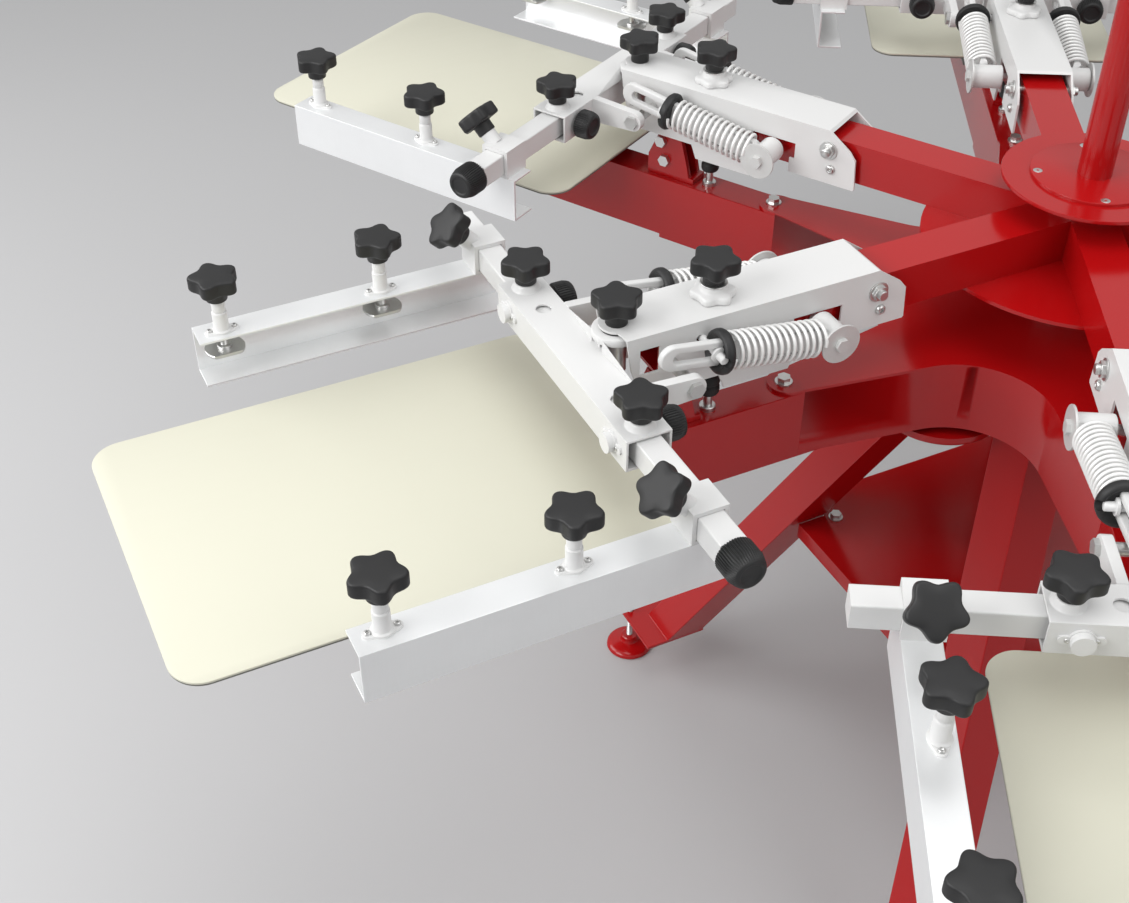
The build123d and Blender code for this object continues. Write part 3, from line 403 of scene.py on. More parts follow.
def paintWhere(piece, index, test):  # gives the faces that pass the test another of the piece's finishes
    for face in piece.data.polygons:
        if test(face.center / mm, face.normal):
            face.material_index = index


# Geometry Nodes
class GeometryTree(Graph):
    def __init__(self, name, sizes):
        super().__init__(bpy.data.node_groups.new(name, "GeometryNodeTree"))
        self.tree.interface.new_socket("Geometry", in_out="INPUT", socket_type="NodeSocketGeometry")
        for size, kind in sizes.items():
            self.tree.interface.new_socket(size, in_out="INPUT", socket_type="NodeSocket" + kind)
        self.tree.interface.new_socket("Geometry", in_out="OUTPUT", socket_type="NodeSocketGeometry")
        start = self.tree.nodes.new("NodeGroupInput")
        self.inputs = {socket.name: Wire(self, socket) for socket in start.outputs if socket.name}

    def function(self, operation, *values):
        return self.add("ShaderNodeMath", {"operation": operation}, dict(enumerate(values)))

    def finish(self, geometry):
        real = self.add("GeometryNodeRealizeInstances", None, {0: geometry})
        dressed = self.add("GeometryNodeSetMaterial", None, {"Geometry": real, "Material": self.inputs["Finish"]})
        end = self.tree.nodes.new("NodeGroupOutput")
        self.tree.links.new(dressed.socket, end.inputs[0])


def grow(tree, name, host, values):  # runs a tree on a host mesh and returns a plain mesh object
    piece = bpy.data.objects.new(name, host)
    bpy.context.scene.collection.objects.link(piece)
    growth = piece.modifiers.new("growth", "NODES")
    growth.node_group = tree.tree
    for socket in tree.tree.interface.items_tree:
        if socket.in_out == "INPUT" and socket.name in values:
            growth[socket.identifier] = values[socket.name]
    plain(piece)
    piece.data.polygons.foreach_set("material_index", [0] * len(piece.data.polygons))
    piece.data.materials.clear()
    piece.data.materials.append(values["Finish"])
    return piece


def makeSpringTree():  # a round wire wound at a steady climb along X, closed by two caps
    tree = GeometryTree("springTree", {"Turns": "Float", "Coil Radius": "Float", "Wire Radius": "Float",
                                       "Start": "Float", "End": "Float", "Side": "Float", "Steps Per Turn": "Int",
                                       "Finish": "Material"})
    given = tree.inputs
    steps = given["Turns"] * given["Steps Per Turn"] + 1
    line = tree.add("GeometryNodeCurvePrimitiveLine")
    fine = tree.add("GeometryNodeResampleCurve", None, {"Curve": line, "Count": steps})
    share = tree.add("GeometryNodeSplineParameter")
    angle = share * given["Turns"] * math.tau
    wire = given["Wire Radius"]
    first = given["Start"] + wire
    along = first + share * (given["End"] - wire - first)
    place = tree.add("ShaderNodeCombineXYZ", None, {
        0: along,
        1: given["Side"] + given["Coil Radius"] * tree.function("COSINE", angle),
        2: given["Coil Radius"] * tree.function("SINE", angle)})
    wound = tree.add("GeometryNodeSetPosition", None, {"Geometry": fine, "Position": place})
    section = tree.add("GeometryNodeCurvePrimitiveCircle", None, {"Resolution": 12, "Radius": wire})
    tube = tree.add("GeometryNodeCurveToMesh", None, {"Curve": wound, "Profile Curve": section, "Fill Caps": True})
    smooth = tree.add("GeometryNodeSetShadeSmooth", None, {"Geometry": tube})
    tree.finish(smooth)
    return tree


def makeScatterTree():  # a form at every point of the host, pointing along the point's direction
    tree = GeometryTree("scatterTree", {"Form": "Object", "Finish": "Material"})
    form = tree.add("GeometryNodeObjectInfo", {"transform_space": "ORIGINAL"}, {"Object": tree.inputs["Form"]},
                    "Geometry")
    way = tree.add("GeometryNodeInputNamedAttribute", {"data_type": "FLOAT_VECTOR"}, {"Name": "way"})
    spin = tree.add("GeometryNodeInputNamedAttribute", {"data_type": "FLOAT"}, {"Name": "spin"})
    aim = tree.add("FunctionNodeAlignRotationToVector", {"axis": "Z"}, {"Vector": way})
    turn = tree.add("FunctionNodeAxisAngleToRotation", None, {"Axis": (0, 0, 1), "Angle": spin})
    facing = tree.add("FunctionNodeRotateRotation", {"rotation_space": "LOCAL"}, {0: aim, 1: turn})
    placed = tree.add("GeometryNodeInstanceOnPoints", None,
                      {"Points": tree.inputs["Geometry"], "Instance": form, "Rotation": facing})
    tree.finish(placed)
    return tree


springTree = makeSpringTree()
scatterTree = makeScatterTree()


def pointHost(places):  # (place in mm, direction, spin in degrees) as loose points
    host = bpy.data.meshes.new("host")
    host.from_pydata([tuple(mm * part for part in place) for place, way, spin in places], [], [])
    host.attributes.new("way", "FLOAT_VECTOR", "POINT")
    host.attributes.new("spin", "FLOAT", "POINT")
    for index, (place, way, spin) in enumerate(places):
        host.attributes["way"].data[index].vector = way
        host.attributes["spin"].data[index].value = math.radians(spin)
    return host


def scatter(name, form, places, finish):
    return grow(scatterTree, name, pointHost(places), {"Form": form, "Finish": finish})


def mouldFor(name, form, sharp=34):  # a form in millimetres, kept only to be scattered
    bmesh.ops.scale(form, vec=(mm, mm, mm), verts=form.verts)
    bmesh.ops.recalc_face_normals(form, faces=form.faces)
    mould = pieceFrom(name, form, [])
    mould.data.shade_smooth()
    mould.data.set_sharp_from_angle(angle=math.radians(sharp))
    moulds.append(mould)
    return mould


moulds = []
up = (0, 0, 1)


# turned and moulded forms, each about its own Z axis
def smoothStep(value):
    value = max(0.0, min(1.0, value))
    return value * value * (3 - 2 * value)


def starKnobForm():
    knob = {"radius": 29.7, "bossRadius": 12.8, "bossHeight": 14.0, "thickness": 20.0, "lobes": 5,
            "bite": 7.2, "tipShape": 1.15, "edge": 3.4, "crown": 1.4, "sides": 100}
    top = knob["bossHeight"] + knob["thickness"]
    low = knob["bossHeight"]
    rim = knob["radius"]
    edge = knob["edge"]
    boss = knob["bossRadius"]

    def lobed(angle, radius):
        bite = 1 - (0.5 - 0.5 * math.cos(knob["lobes"] * angle)) ** knob["tipShape"]
        share = smoothStep((radius - boss - 1) / (rim - boss - 4))
        return 1 - share * knob["bite"] * bite / rim

    profile = [(0, 0), (boss - 1.2, 0), (boss - 0.3, 0.4), (boss, 1.3), (boss, low - 1.8), (boss + 0.6, low - 0.5),
               (boss + 2.2, low)]
    profile += [(rim - edge - 3, low + 0.3)]
    for step in range(6):
        angle = math.pi / 2 * step / 5
        profile.append((rim - edge + edge * math.sin(angle), low + 0.4 + edge * (1 - math.cos(angle))))
    for step in range(6):
        angle = math.pi / 2 * step / 5
        profile.append((rim - edge + edge * math.cos(angle), top - edge - knob["crown"] + edge * math.sin(angle)))
    profile += [(rim - edge - 5, top - 0.6), (boss, top - 0.1), (0, top)]
    form = bmesh.new()
    addTurned(form, profile, knob["sides"], shape=lobed)
    return form


def ribbedKnobForm(knob):  # a round knob with straight ribs round its rim and a dished face
    radius = knob["radius"]
    front = radius * knob["taper"]
    length = knob["length"]
    sides = knob["ribs"] * 4

    def ribbed(angle, reach):
        if reach < front - 0.6:
            return 1
        step = round(angle / math.tau * sides) % 4
        return 1 - (knob["depth"] / radius if step in (2, 3) else 0)

    profile = [(0, 0), (knob["hub"], 0), (radius - 2.5, 0.3), (radius - 1.1, 1.0), (radius, 2.4), (radius, length * 0.62),
               (front + 0.2, length - 4), (front - 0.9, length - 1.8), (front - 2.4, length - 0.5), (front - 3.6, length),
               (knob["dish"] + 1.4, length), (knob["dish"], length - 1.4), (knob["dish"] - 1, length - 1.8),
               (0, length - 1.8)]
    form = bmesh.new()
    addTurned(form, profile, sides, shape=ribbed)
    return form


def turnedForm(profile, sides=40, shape=None):
    form = bmesh.new()
    addTurned(form, profile, sides, shape=shape)
    return form


def screwHeadForm(radius, height, socket):  # a button head with a hexagon socket
    sides = 36

    def hexagonal(angle, reach):
        if reach > socket * 1.2:
            return 1
        return math.cos(math.pi / 6) / math.cos((angle + math.pi / 6) % (math.pi / 3) - math.pi / 6)

    profile = [(0, 0), (radius, 0), (radius, height * 0.35), (radius * 0.93, height * 0.68), (radius * 0.76, height * 0.92),
               (radius * 0.6, height), (socket * 1.12, height), (socket, height * 0.96), (socket * 0.97, height * 0.35),
               (0, height * 0.3)]
    return turnedForm(profile, sides, hexagonal)


print("forms ready")


# camera, floor and light
view = {"place": (1.323, 1.241, 1.982), "towards": (-0.334, -0.6975, -0.634), "lens": 48.94}
scene = bpy.context.scene
cameraData = bpy.data.cameras.new("camera")
cameraData.lens = view["lens"]
cameraData.sensor_width = 36
cameraData.clip_end = 60
camera = bpy.data.objects.new("camera", cameraData)
camera.location = view["place"]
camera.rotation_euler = Vector(view["towards"]).to_track_quat("-Z", "Y").to_euler()
scene.collection.objects.link(camera)
scene.camera = camera
scene.view_settings.view_transform = "Standard"
scene.view_settings.look = "None"

room = {"sky": [(0.0, 0.16), (0.50, 0.22), (0.68, 0.75), (1.0, 1.0)], "skyStrength": 0.79, "floorColour": (0.46, 0.46, 0.465), "floorHalf": 14}
world = bpy.data.worlds.new("room")
scene.world = world
world.use_nodes = True
skyGraph = Graph(world.node_tree)
heading = skyGraph.node("ShaderNodeSeparateXYZ", None, {0: skyGraph.add("ShaderNodeTexCoord")})
sky = skyGraph.ramp(Wire(skyGraph, heading.outputs["Z"]) * 0.5 + 0.5, room["sky"])  # pale above, darker towards the floor
background = world.node_tree.nodes["Background"]
world.node_tree.links.new(sky.socket, background.inputs[0])
background.inputs[1].default_value = room["skyStrength"]

lamps = {  # place, aimed at, width, watts
    "keyLamp": ((3.6, 0.2, 2.6), (1.6, 0.0, 0.0), 2.2, 74),
    "sideLamp": ((2.9, -2.2, 2.2), (1.6, -1.3, 0.0), 2.2, 40),
    "fillLamp": ((-0.6, 2.8, 2.8), (0.2, 0.2, 0.8), 2.4, 18),
    "topLamp": ((0.2, 0.4, 4.2), (0.2, 0.2, 0.9), 3.0, 34),
}
for name, (place, target, width, watts) in lamps.items():
    data = bpy.data.lights.new(name, "AREA")
    data.shape = "DISK"
    data.size = width
    data.energy = watts
    lamp = bpy.data.objects.new(name, data)
    lamp.location = place
    lamp.rotation_euler = (Vector(target) - Vector(place)).to_track_quat("-Z", "Y").to_euler()
    scene.collection.objects.link(lamp)

floorFinish, graph, shader, coords = newFinish("floorFinish")
clouds = graph.noise(coords, 0.9, 3)
shade = graph.blendColour(clouds, tinted(room["floorColour"], 0.985), tinted(room["floorColour"], 1.015))
floorFinish.node_tree.links.new(shade.socket, shader.inputs["Base Color"])
shader.inputs["Roughness"].default_value = 0.65
half = room["floorHalf"]
floorMesh = bpy.data.meshes.new("floor")
floorMesh.from_pydata([(-half, -half, 0), (half, -half, 0), (half, half, 0), (-half, half, 0)], [], [(0, 1, 2, 3)])
floorMesh.materials.append(floorFinish)
floor = bpy.data.objects.new("floor", floorMesh)
scene.collection.objects.link(floor)
print("camera, floor and light placed")


# CAD nodes that keep their own shape
for nodeName, finish in {"centre_shaft": platedSteel, "centre_post": redPaint, "lower_hub": redPaint,
                         "pallet_brackets": darkBacking}.items():
    for holder in nodes[nodeName].material_slots:
        holder.material = finish

# stand
edges = {"legs": 1.6, "stand_top": 1.5, "shelf_plate": 1.2, "index_unit": 0.8, "star_plate": 1.0, "lower_arms": 1.4,
         "registration_gates": 0.9, "upper_arms": 2.2, "hub_disc": 0.9}
homes = {"legs": "stand", "stand_top": "stand", "shelf_plate": "stand", "index_unit": "stand",
         "star_plate": "pallet_carousel", "lower_arms": "pallet_carousel", "registration_gates": "pallet_carousel",
         "upper_arms": "head_carousel", "hub_disc": "head_carousel"}
for nodeName, width in edges.items():
    piece = evenShading(pieceFrom(nodeName + "_painted", softened(nodeName, width), [redPaint]))
    seat(piece, homes[nodeName], [nodeName], "red_paint")
for nodeName, home in {"shelf_bolts": "stand", "carousel_bolts": "pallet_carousel", "gate_rollers": "pallet_carousel",
                       "spring_anchors": "head_carousel"}.items():
    finish = washerSteel if nodeName == "spring_anchors" else platedSteel
    piece = evenShading(pieceFrom(nodeName + "_plated", softened(nodeName, 0.5), [finish]))
    seat(piece, home, [nodeName], "zinc_steel")
print("painted stand and stars made")

foot = {"place": 407.4, "disc": 39.0, "hub": 14.0, "stud": 5.0, "thread": 1.5, "top": 101.0, "nutTop": 79.0}
discProfile = [(0, 0), (foot["disc"] - 1.5, 0), (foot["disc"], 1.5), (foot["disc"] - 0.4, 4.5), (foot["disc"] - 3, 7.8),
               (foot["disc"] - 8, 10.2), (foot["hub"] + 6, 12), (foot["hub"] + 1.5, 13.5), (foot["hub"], 16),
               (foot["hub"], 24.5), (foot["hub"] - 1.5, 26), (0, 26)]
studProfile = [(0, 25.8)]
turns = int((foot["top"] - 27) / foot["thread"])
for turn in range(turns):
    low = 26 + turn * foot["thread"]
    studProfile += [(foot["stud"] - 0.6, low), (foot["stud"], low + foot["thread"] / 2)]
studProfile += [(foot["stud"] - 1, foot["top"] - 0.3), (0, foot["top"])]
feet = [((x * foot["place"], y * foot["place"], 0), up, 0) for x in (-1, 1) for y in (-1, 1)]
discMould = mouldFor("discMould", turnedForm(discProfile, 72))
studForm = turnedForm(studProfile, 24)
addTurned(studForm, [(0, 70.9), (9.0, 70.9), (9.0, 78.3), (8.2, 79), (0, 79)], 6)
seat(scatter("foot_discs", discMould, feet, redPaint), "stand", ["leveling_feet"], "red_paint")
seat(scatter("foot_studs", mouldFor("studMould", studForm), feet, platedSteel), "stand", ["leveling_feet"], "red_paint")

# pallets, two layers each
pallet = {"near": 672.0, "length": 560.0, "half": 200.0, "corner": 36.0, "top": 885.0, "board": 3.0, "base": 2.0,
          "inset": 0.6, "round": 0.7, "cornerSteps": 16}


def slabForm(low, high, inset, roundBottom):
    form = bmesh.new()
    edge = pallet["round"]
    levels = [(low, inset), (high - edge, inset), (high - edge * 0.35, inset + edge * 0.35), (high, inset + edge)]
    if roundBottom:
        levels[:1] = [(low, inset + edge), (low + edge * 0.35, inset + edge * 0.35), (low + edge, inset)]
    rings = []
    for height, drawnIn in levels:
        radius = pallet["corner"] - drawnIn
        ring = []
        for quarter in range(4):
            cx = pallet["near"] + (pallet["length"] - pallet["corner"] if quarter in (0, 3) else pallet["corner"])
            cy = (pallet["half"] - pallet["corner"]) * (1 if quarter in (0, 1) else -1)
            for step in range(pallet["cornerSteps"] + 1):
                angle = math.pi / 2 * (quarter + step / pallet["cornerSteps"])
                ring.append((cx + radius * math.cos(angle), cy + radius * math.sin(angle), height))
        rings.append(ring)
    addRings(form, rings)
    return form


sixWays = [((0, 0, 0), up, 60 * step) for step in range(6)]
middle = pallet["top"] - pallet["board"]
boardMould = mouldFor("boardMould", slabForm(middle, pallet["top"], 0, True))
baseMould = mouldFor("baseMould", slabForm(middle - pallet["base"], middle, pallet["inset"], False))
seat(scatter("pallet_boards", boardMould, sixWays, creamBoard), "pallet_carousel", ["pallets"], "cream_laminate")
seat(scatter("pallet_bases", baseMould, sixWays, darkBacking), "pallet_carousel", ["pallets"], "cream_laminate")

# stops on the pallet arms
bumper = {"reach": 539.0, "arm": 855.0, "studTop": 879.0, "top": 909.0, "radius": 13.0, "waist": 10.8, "stud": 5.5}
rubberProfile = [(0, bumper["studTop"]), (bumper["waist"], bumper["studTop"]), (bumper["radius"] - 0.8, bumper["studTop"] + 1.6),
                 (bumper["radius"], bumper["studTop"] + 4), (bumper["radius"], bumper["studTop"] + 10),
                 (bumper["waist"], bumper["studTop"] + 12.5), (bumper["waist"], bumper["studTop"] + 14.5),
                 (bumper["radius"], bumper["studTop"] + 17), (bumper["radius"], bumper["top"] - 5),
                 (bumper["radius"] - 1.5, bumper["top"] - 1.8), (bumper["radius"] - 4.5, bumper["top"] - 0.3), (0, bumper["top"])]
postProfile = [(0, bumper["arm"]), (10, bumper["arm"]), (10, bumper["arm"] + 5), (9, bumper["arm"] + 6),
               (bumper["stud"], bumper["arm"] + 6), (bumper["stud"], bumper["studTop"] + 0.2), (0, bumper["studTop"] + 0.2)]
for name, profile, finish, slotName in (("stop_rubbers", rubberProfile, blackRubber, "black_rubber"),
                                        ("stop_studs", postProfile, platedSteel, "zinc_steel")):
    form = turnedForm(profile, 40)
    bmesh.ops.translate(form, vec=(bumper["reach"], 0, 0), verts=form.verts)
    seat(scatter(name, mouldFor(name + "Mould", form), sixWays, finish), "pallet_carousel", ["stop_bumpers"], slotName)

# hub cap
capScrew = {"ring": 69.5, "first": 60, "radius": 6.2, "top": 1043.9, "slot": 2.0}
capProfile = [(0, 1039.5), (78, 1039.5), (78, 1042.6), (77.7, 1043.2), (77, 1043.5), (0, 1043.5)]
capMould = mouldFor("capMould", turnedForm(capProfile, 144))
seat(scatter("hub_cap_disc", capMould, [((0, 0, 0), up, 0)], redPaint), "head_carousel", ["hub_cap"], "red_paint")
places = []
for quarter in range(4):
    angle = math.radians(capScrew["first"] + 90 * quarter)
    places.append(((capScrew["ring"] * math.cos(angle), capScrew["ring"] * math.sin(angle), capScrew["top"] - 1.2), up, 9))
screws = scatter("hub_cap_screws", mouldFor("capScrewMould", screwHeadForm(capScrew["radius"], 1.2, capScrew["slot"])),
                 places, platedSteel)
seat(screws, "head_carousel", ["hub_cap"], "red_paint")
print("stand, pallets and hub made")

# head 1, built once; the other heads are copies of it
guide = {"anchor": (421.3, 0, 967.9), "slope": 9.0, "side": 68.5, "slotHalf": 5.3, "slotHigh": 16.8,
         "collarStart": 145.5, "collarLength": 12.5, "collarRadius": 26.3, "pin": 156.5, "notch": 5.7}
alongGuide = Matrix.Translation(Vector(guide["anchor"]) * mm) @ Matrix.Rotation(math.radians(-guide["slope"]), 4, "Y")
starMould = mouldFor("starMould", starKnobForm())
barKnobLook = {"radius": 21.6, "length": 35.0, "hub": 12.0, "ribs": 44, "depth": 1.5, "dish": 11.5, "taper": 0.86}
backKnobLook = {"radius": 20.0, "length": 24.0, "hub": 9.0, "ribs": 40, "depth": 1.3, "dish": 11.0, "taper": 0.92}
barKnobMould = mouldFor("barKnobMould", ribbedKnobForm(barKnobLook), 50)
backKnobMould = mouldFor("backKnobMould", ribbedKnobForm(backKnobLook), 50)
bossProfile = [(0, 2.8), (11.2, 2.8), (11.8, 3.4), (11.2, 4.2), (9.6, 4.8), (9.0, 6), (9.0, 27), (8.4, 27.8), (7.4, 28.4),
               (7.4, 30), (7.9, 30.6), (7.9, 40.6), (7.2, 42), (0, 42)]
bossMould = mouldFor("bossMould", turnedForm(bossProfile, 40))


def flangeForm():  # an oval plate, the outline that wraps a large circle and a small one at each end
    look = {"middle": 11.2, "end": 5.5, "reach": 15.0, "height": 3.0, "round": 0.8, "sides": 72}
    circles = [(0, look["middle"]), (look["reach"], look["end"]), (-look["reach"], look["end"])]
    rings = []
    for height, drawnIn in ((0, 0), (look["height"] - look["round"], 0), (look["height"] - 0.25, 0.3), (look["height"], 0.9)):
        ring = []
        for step in range(look["sides"]):
            angle = math.tau * (step + 0.5) / look["sides"]
            middle, radius = max(circles, key=lambda circle: circle[0] * math.cos(angle) + circle[1])
            ring.append((middle + (radius - drawnIn) * math.cos(angle), (radius - drawnIn) * math.sin(angle), height))
        rings.append(ring)
    form = bmesh.new()
    addRings(form, rings)
    return form


flangeMould = mouldFor("flangeMould", flangeForm())
flangeScrewMould = mouldFor("flangeScrewMould", screwHeadForm(3.6, 2.6, 1.5))
stemProfile = [(0, -22), (9, -22), (9, -18.6), (8.4, -18), (5, -18)]
thread = 1.6
for turn in range(int(62.5 / thread)):
    low = -17.8 + turn * thread
    stemProfile += [(4.5, low), (5.0, low + thread / 2)]
stemProfile += [(4.4, 45), (0, 45)]
stemMould = mouldFor("stemMould", turnedForm(stemProfile, 20))


def padShape(angle, radius):  # the round pad is cut straight where it runs between the channel's flanges
    return min(1, 17.2 / max(1e-6, abs(math.sin(angle)) * radius))


padMould = mouldFor("padMould", turnedForm([(0, -26), (23, -26), (24, -25.2), (24, -22.8), (23.2, -22), (0, -22)], 64,
                                           padShape))
slant = math.sqrt(0.5)
knobs = {  # place, direction, turn about it, body and node on head 1
    "top_knob": ((542.5, 0, 1036.1), up, 30),
    "front_knob": ((665.0, 0, 1020.6), up, 66),
}
screwTurns = {"screw_left_inner": 30, "screw_left_outer": 45, "screw_right_inner": 55, "screw_right_outer": 20}
screwPlaces = {}
for side, sign in (("left", 1), ("right", -1)):
    knobs["sleeve_knob_" + side] = ((710.0, sign * 144.0, 998.5), up, 48 + 18 * sign)
    knobs["clamp_knob_" + side] = ((710.0 + 38.5 * slant, sign * 271.5, 970.0 + 38.5 * slant), (slant, 0, slant), 40 + 4 * sign)
    for which, reach in (("inner", 847.5), ("outer", 1045.0)):
        screwPlaces["screw_" + side + "_" + which] = (reach, sign * 269.5, 950.0)
for name, (x, y, z) in screwPlaces.items():
    knobs[name] = ((x, y, z + 45), up, screwTurns[name])

headPieces = []  # (piece, finish slot, role) of head 1, to be copied


def headPiece(piece, body, nodeName, slotName, role="frame"):
    seat(piece, body, [nodeName], slotName)
    headPieces.append((piece, slotName, role))
    return piece


def fromNode(name, nodeName, width, finishes, body, slotName, keep=None, role="frame", sharp=34):
    piece = evenShading(pieceFrom(name, softened(nodeName, width, keep), finishes), sharp)
    return headPiece(piece, body, nodeName, slotName, role)


def isLockNut(middle, size):
    return abs(middle.y) < 5 and middle.x > 500


def isPlunger(middle, size):
    return middle.x > 700


def isCrossPin(middle, size):
    return abs(middle.y) > 30 and 570 < middle.x < 590


def isLockScrew(middle, size):
    return middle.x < 345 and middle.z < 975


def isPlated(middle, size):
    return not any(test(middle, size) for test in (isLockNut, isPlunger, isCrossPin, isLockScrew))


nose = {"reach": 665.0, "front": 672.0, "deep": 0.71, "wide": 0.77, "plateBottom": 1013.6, "block": 18.0, "blockShare": 0.1}
form = softened("head_1_cover", 1.5)
for vert in form.verts:
    x, y, z = vert.co / mm
    if z < nose["plateBottom"] - 0.2 and math.hypot(x - nose["reach"], y) < nose["block"]:
        vert.co.z = (nose["plateBottom"] - (nose["plateBottom"] - z) * nose["blockShare"]) * mm
    elif x > nose["front"] - 0.1 and abs(y) < 25.3 and z > nose["plateBottom"] - 0.2:
        vert.co.x = (nose["front"] + (x - nose["front"]) * nose["deep"]) * mm
        vert.co.y = y * nose["wide"] * mm
headPiece(evenShading(pieceFrom("head_1_cover_shell", form, [whitePaint])), "lift_1", "head_1_cover", "white_paint")
lug = {"radius": 28.0, "low": 1000.5, "high": 1010.2, "ring": 18.6, "sleeveBack": 690.0, "web": 0.14, "cadLow": 975.1, "cadHigh": 989.1,
       "webTop": 1005.0, "webWide": 0.5, "tube": 12.0, "tubeLow": 954.0}
form = softened("head_1_sleeve", 1.5)
for vert in form.verts:  # the solid lug becomes the web that carries the round one
    x, y, z = vert.co / mm
    if x < lug["sleeveBack"] - 0.05 and abs(y) < 27:
        vert.co.x = (lug["sleeveBack"] - (lug["sleeveBack"] - x) * lug["web"]) * mm
        vert.co.y = y * lug["webWide"] * mm
        if z > lug["cadLow"]:
            stretch = (lug["webTop"] - lug["cadLow"]) / (lug["cadHigh"] - lug["cadLow"])
            vert.co.z = (lug["cadLow"] + (z - lug["cadLow"]) * stretch) * mm
linkX, linkZ = (616.0, 973.0)
for vert in form.verts:
    x, y, z = vert.co / mm
    if x < 650 and 30 < abs(y) < 100:
        share = 0.78 + 0.22 * smoothStep((x - 620) / 30)
        vert.co.z = (linkZ + (z - linkZ) * share) * mm
        if x < linkX:
            vert.co.x = (linkX + (x - linkX) * share) * mm
headPiece(evenShading(pieceFrom("head_1_sleeve_tube", form, [whitePaint])), "lift_1", "head_1_sleeve", "white_paint")
lugProfile = [(0, lug["low"]), (lug["radius"] - 1.6, lug["low"]), (lug["radius"] - 0.5, lug["low"] + 0.5),
              (lug["radius"], lug["low"] + 1.6), (lug["radius"], lug["high"] - 1.6), (lug["radius"] - 0.5, lug["high"] - 0.5),
              (lug["radius"] - 1.6, lug["high"]), (0, lug["high"])]
tubeProfile = [(0, lug["tubeLow"]), (lug["tube"] - 0.6, lug["tubeLow"]), (lug["tube"], lug["tubeLow"] + 0.6),
               (lug["tube"], lug["low"] + 0.2), (0, lug["low"] + 0.2)]
nosePlace = [((nose["reach"], 0, 0), up, 0)]
headPiece(scatter("head_1_nose_lug", mouldFor("lugMould", turnedForm(lugProfile, 96)), nosePlace, whiteTurned),
          "lift_1", "head_1_sleeve", "white_paint")
# a black ring fills the gap between the round lug and the nose plate; it draws a dark line under the plate's edge, and
# its rubber finish is borrowed from the stops
ringForm = turnedForm([(0, lug["high"]), (lug["ring"], lug["high"]), (lug["ring"], nose["plateBottom"]), (0, nose["plateBottom"])], 64)
headPiece(scatter("head_1_nose_ring", mouldFor("ringMould", ringForm), nosePlace, blackRubber), "lift_1", "head_1_sleeve",
          "white_paint")
headPiece(scatter("head_1_nose_tube", mouldFor("tubeMould", turnedForm(tubeProfile, 48)), nosePlace, platedSteel),
          "lift_1", "head_1_sleeve", "white_paint")
lockNut = {"place": (542.5, 0, 1016.6), "radius": 27.0, "hub": 15.0, "lobes": 6, "bite": 4.8, "thick": 9.5, "high": 19.0}


def nutShape(angle, radius):
    share = smoothStep((radius - lockNut["hub"] - 2) / (lockNut["radius"] - lockNut["hub"] - 3))
    return 1 - share * lockNut["bite"] / lockNut["radius"] * (0.5 + 0.5 * math.cos(lockNut["lobes"] * angle))


nutProfile = [(0, 0), (24, 0), (26.2, 0.8), (27, 2.6), (27, 6.4), (26.2, 8.4), (24, 9.5), (17.5, 10.2), (15.6, 12.5),
              (15, 17.6), (14.2, 18.8), (13, 19), (0, 19)]
nut = scatter("head_1_lock_nut", mouldFor("nutMould", turnedForm(nutProfile, 96, nutShape), 60), [(lockNut["place"], up, 12)],
              whiteTurned)
headPiece(nut, "lift_1", "head_1_fittings", "zinc_steel")
washer = mouldFor("topWasherMould", turnedForm([(5.2, 19), (15.6, 19), (16, 19.3), (16, 20.6), (15.6, 21), (5.2, 21)], 48))
headPiece(scatter("head_1_top_washer", washer, [((542.5, 0, 1015.0), up, 0)], platedSteel), "lift_1", "head_1_fittings",
          "zinc_steel")
fromNode("head_1_plungers", "head_1_fittings", 0.8, [whiteTurned], "lift_1", "zinc_steel", isPlunger)
capEars = [((739.4, sign * 133.0 + shift, 970), (1, 0, 0), 0) for sign in (-1, 1) for shift in (-13.5, 13.5)]
earScrews = scatter("head_1_plunger_screws", mouldFor("earScrewMould", screwHeadForm(2.9, 1.6, 1.2)), capEars, platedSteel)
headPiece(earScrews, "lift_1", "head_1_fittings", "zinc_steel")
crossPin = {"place": (575.8, 0, 992.4), "radius": 5.2, "tip": 88.0}
pinProfile = [(0, 30), (4.7, 30), (4.7, 62), (crossPin["radius"], 63.2), (crossPin["radius"], 73.4), (9.4, 73.6),
              (9.4, 76.8), (crossPin["radius"], 77.2), (crossPin["radius"], crossPin["tip"] - 1),
              (crossPin["radius"] - 1, crossPin["tip"]), (0, crossPin["tip"])]
pins = [(crossPin["place"], (0, sign, 0), 0) for sign in (-1, 1)]
headPiece(scatter("head_1_cross_pins", mouldFor("pinMould", turnedForm(pinProfile, 32)), pins, whiteTurned),
          "lift_1", "head_1_fittings", "zinc_steel")
lockScrews = [((334.0, sign * 39.0, 961.4), (0, sign, 0), 0) for sign in (-1, 1)]
lockScrewMould = mouldFor("lockScrewMould", screwHeadForm(6.5, 5.0, 3.0))
headPiece(scatter("head_1_lock_screws", lockScrewMould, lockScrews, platedSteel), "lift_1", "head_1_fittings", "zinc_steel")
pivotProfile = [(0, 6), (6.3, 6), (6.3, 11.5), (5.6, 12.3), (0, 12.3)]
pivots = [((340.0, sign * 39.0, 987.4), (0, sign, 0), 0) for sign in (-1, 1)]
headPiece(scatter("head_1_pivot_ends", mouldFor("pivotEndMould", turnedForm(pivotProfile, 28)), pivots, platedSteel),
          "lift_1", "head_1_fittings", "zinc_steel")
fromNode("head_1_bolts", "head_1_fittings", 0.6, [platedSteel], "lift_1", "zinc_steel", isPlated)
form = softened("head_1_bar", 2.0)
barLook = {"cadEnd": 345.0, "knobEnd": 336.5, "freeEnd": 341.0}
for vert in form.verts:
    y = vert.co.y / mm
    if abs(y) > 330:
        vert.co.y += (barLook["knobEnd"] - barLook["cadEnd"] if y > 0 else barLook["cadEnd"] - barLook["freeEnd"]) * mm
